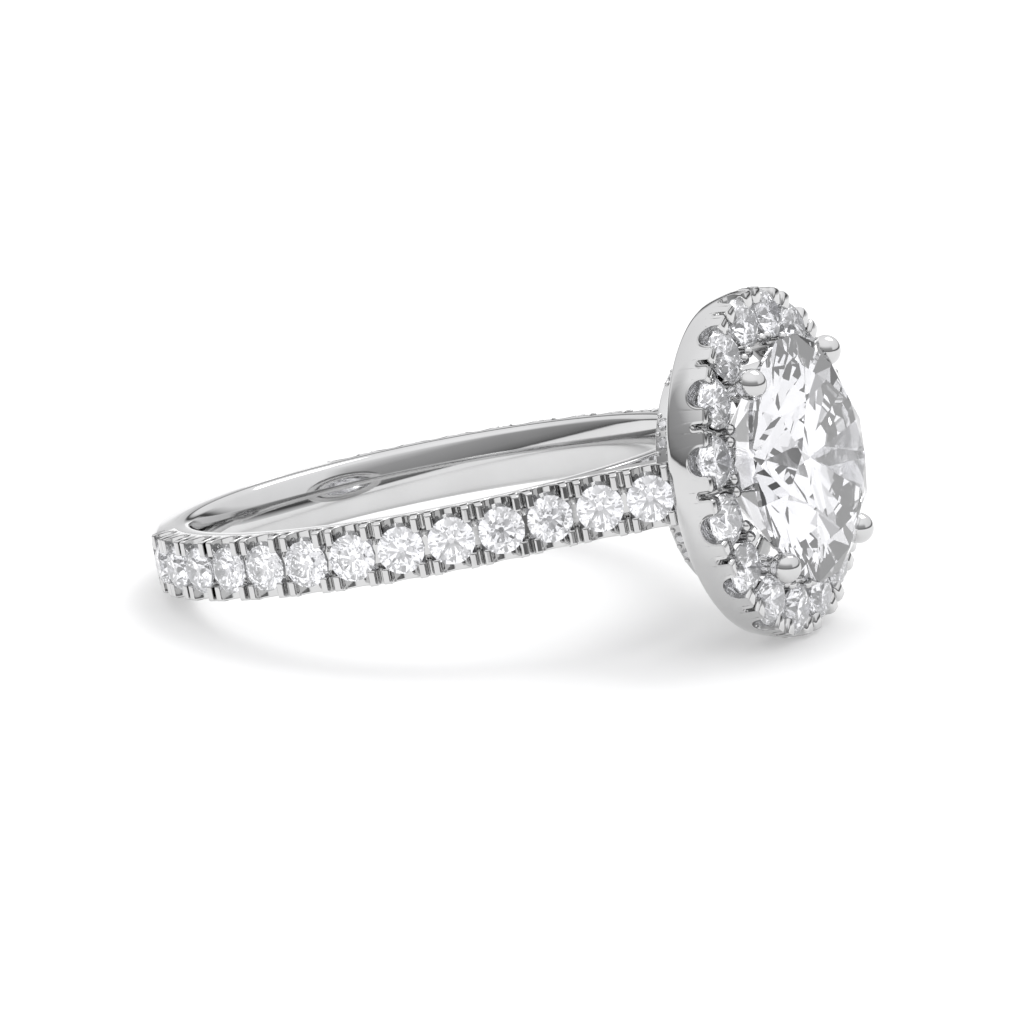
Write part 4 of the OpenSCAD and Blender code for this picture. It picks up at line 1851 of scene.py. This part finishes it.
@dataclass
class Studio:
    """Camera, floor and light.

    Attributes:
        azimuth: Camera's angle round the ring, in radians.
        elevation: Camera's angle above the floor.
        distance: Distance from the camera to its aim.
        aim_right: Aim's place right of the finger hole's centre, in the picture's plane.
        aim_up: Aim's place above it.
        lens: Focal length in millimetres.
        sensor: Width of the sensor in millimetres.
        clips: Nearest and farthest distance that the camera shows.
        floor_reach: Distance from the floor's middle to its sides.
        key_at: Place of the light.
        key_size: Width of the light.
        key_power: Its power, in watts.
        surround: Brightness of the surround from straight down to straight up.
        front: The same at a grey screen on the photographer's side.
        front_way: Level direction of that screen.
        front_spread: Cosines of the angles from that direction at which the screen fades in and is full.
        tint: Blue of both, as a share of their red and green.
    """

    azimuth: float = math.radians(26.652)
    elevation: float = math.radians(13.538)
    distance: float = 172.656 * MM
    aim_right: float = 2.352 * MM
    aim_up: float = -0.354 * MM
    lens: float = 178.1
    sensor: float = 36.0
    clips: tuple[float, float] = (0.01, 10.0)
    floor_reach: float = 1.5
    key_at: tuple[float, float, float] = (0.05, 0.25, 0.45)
    key_size: float = 0.25
    key_power: float = 0.8
    surround: Stops = (
        (0.0, 0.95), (0.5, 0.85), (0.525, 0.4), (0.54, 0.06), (0.56, 0.12), (0.585, 0.6), (0.62, 0.98),
        (1.0, 1.2))
    front: Stops = (
        (0.0, 0.95), (0.5, 0.9), (0.508, 0.1), (0.53, 0.22), (0.58, 0.34), (0.7, 0.45), (0.77, 0.8),
        (0.84, 1.15), (1.0, 1.25))
    front_way: tuple[float, float] = (-0.1, -0.995)
    front_spread: tuple[float, float] = (0.0, 0.2)
    tint: float = 1.01

    def view_axes(self) -> tuple[Vector, Vector, Vector]:
        """Camera's right, up and backward directions.

        Returns:
            The three directions.
        """
        ca, sa = math.cos(self.azimuth), math.sin(self.azimuth)
        ce, se = math.cos(self.elevation), math.sin(self.elevation)
        back = Vector((sa * ce, -ca * ce, se))
        right = Vector((ca, sa, 0.0))
        return right, back.cross(right), back

    def add_camera(self) -> None:
        """Adds the camera at the photograph's view."""
        right, up, back = self.view_axes()
        aim = self.aim_right * right + self.aim_up * up
        data = bpy.data.cameras.new("photo_view")
        data.lens = self.lens
        data.sensor_width = self.sensor
        data.clip_start, data.clip_end = self.clips
        camera = new_object("photo_view", data)
        turn = Matrix((right, up, back)).transposed()
        camera.matrix_world = Matrix.Translation(aim + self.distance * back) @ turn.to_4x4()
        bpy.context.scene.camera = camera

    def add_floor(self, height: float, material: bpy.types.Material) -> None:
        """Adds a wide plain floor.

        Args:
            height: Height of the floor.
            material: Its material.
        """
        reach = self.floor_reach
        corners = [(x * reach, y * reach, height) for x, y in ((-1, -1), (1, -1), (1, 1), (-1, 1))]
        mesh = bpy.data.meshes.new("floor")
        mesh.from_pydata(corners, [], [(0, 1, 2, 3)])
        mesh.materials.append(material)
        floor = new_object("floor", mesh)

    def add_light(self) -> None:
        """Adds a soft square light that faces the ring."""
        data = bpy.data.lights.new("key", "AREA")
        data.shape = "SQUARE"
        data.size = self.key_size
        data.energy = self.key_power
        light = new_object("key", data)
        light.location = self.key_at
        light.rotation_euler = Vector(self.key_at).to_track_quat("Z", "Y").to_euler()

    def ramp(self, tree: bpy.types.NodeTree, source: bpy.types.NodeSocket,
             stops: Stops) -> bpy.types.NodeSocket:
        """Adds a ramp of greys from straight down to straight up.

        Args:
            tree: The surround's tree.
            source: Height of the direction, from 0 for down to 1 for up.
            stops: Place and brightness of each stop.

        Returns:
            The ramp's colour.
        """
        node = add_node(tree, "ShaderNodeValToRGB", {"Fac": source})
        node.color_ramp.elements[0].position = stops[0][0]
        node.color_ramp.elements[1].position = stops[-1][0]
        for place, _ in stops[1:-1]:
            node.color_ramp.elements.new(place)
        for element, (_, tone) in zip(node.color_ramp.elements, stops):
            element.color = (tone, tone, tone * self.tint, 1.0)
        return node.outputs["Color"]

    def add_surround(self) -> None:
        """Adds the studio's surround: bright above, darker low down and on the photographer's side."""
        world = bpy.data.worlds.new("studio")
        bpy.context.scene.world = world
        world.use_nodes = True
        tree = world.node_tree
        way = add_node(tree, "ShaderNodeTexCoord").outputs["Generated"]
        height = add_node(tree, "ShaderNodeSeparateXYZ", {"Vector": way}).outputs["Z"]
        lift = add_node(tree, "ShaderNodeMapRange", {"Value": height, "From Min": -1.0})
        toward = add_node(tree, "ShaderNodeVectorMath", {0: way, 1: (*self.front_way, 0.0)},
                          operation="DOT_PRODUCT")
        side = add_node(tree, "ShaderNodeMapRange", {
            "Value": toward.outputs["Value"], "From Min": self.front_spread[0],
            "From Max": self.front_spread[1]})
        mix = add_node(tree, "ShaderNodeMix", {"Factor": side.outputs["Result"]}, data_type="RGBA")
        for label, stops in (("A", self.surround), ("B", self.front)):
            socket = next(i for i in mix.inputs if i.name == label and i.type == "RGBA")
            tree.links.new(self.ramp(tree, lift.outputs["Result"], stops), socket)
        colour = next(o for o in mix.outputs if o.type == "RGBA")
        tree.links.new(colour, tree.nodes["Background"].inputs["Color"])

    def build(self, finishes: Finishes) -> None:
        """Builds the whole studio.

        Args:
            finishes: The materials.
        """
        self.add_camera()
        self.add_floor(CAD_BOX[0][2], finishes.floor)
        self.add_surround()
        self.add_light()
        bpy.context.scene.view_settings.view_transform = "Standard"


def main() -> None:
    """Builds the studio and the ring's sub-assemblies in order."""
    logging.basicConfig(level=logging.INFO, format="%(name)s: %(message)s")
    finishes = Finishes.make()
    trees = Trees()
    Studio().build(finishes)
    for maker in (Band, BandStones, Halo, Head):
        LOG.info("building %s", maker.__name__)
        maker(finishes, trees).build()


if __name__ == "__main__":
    main()
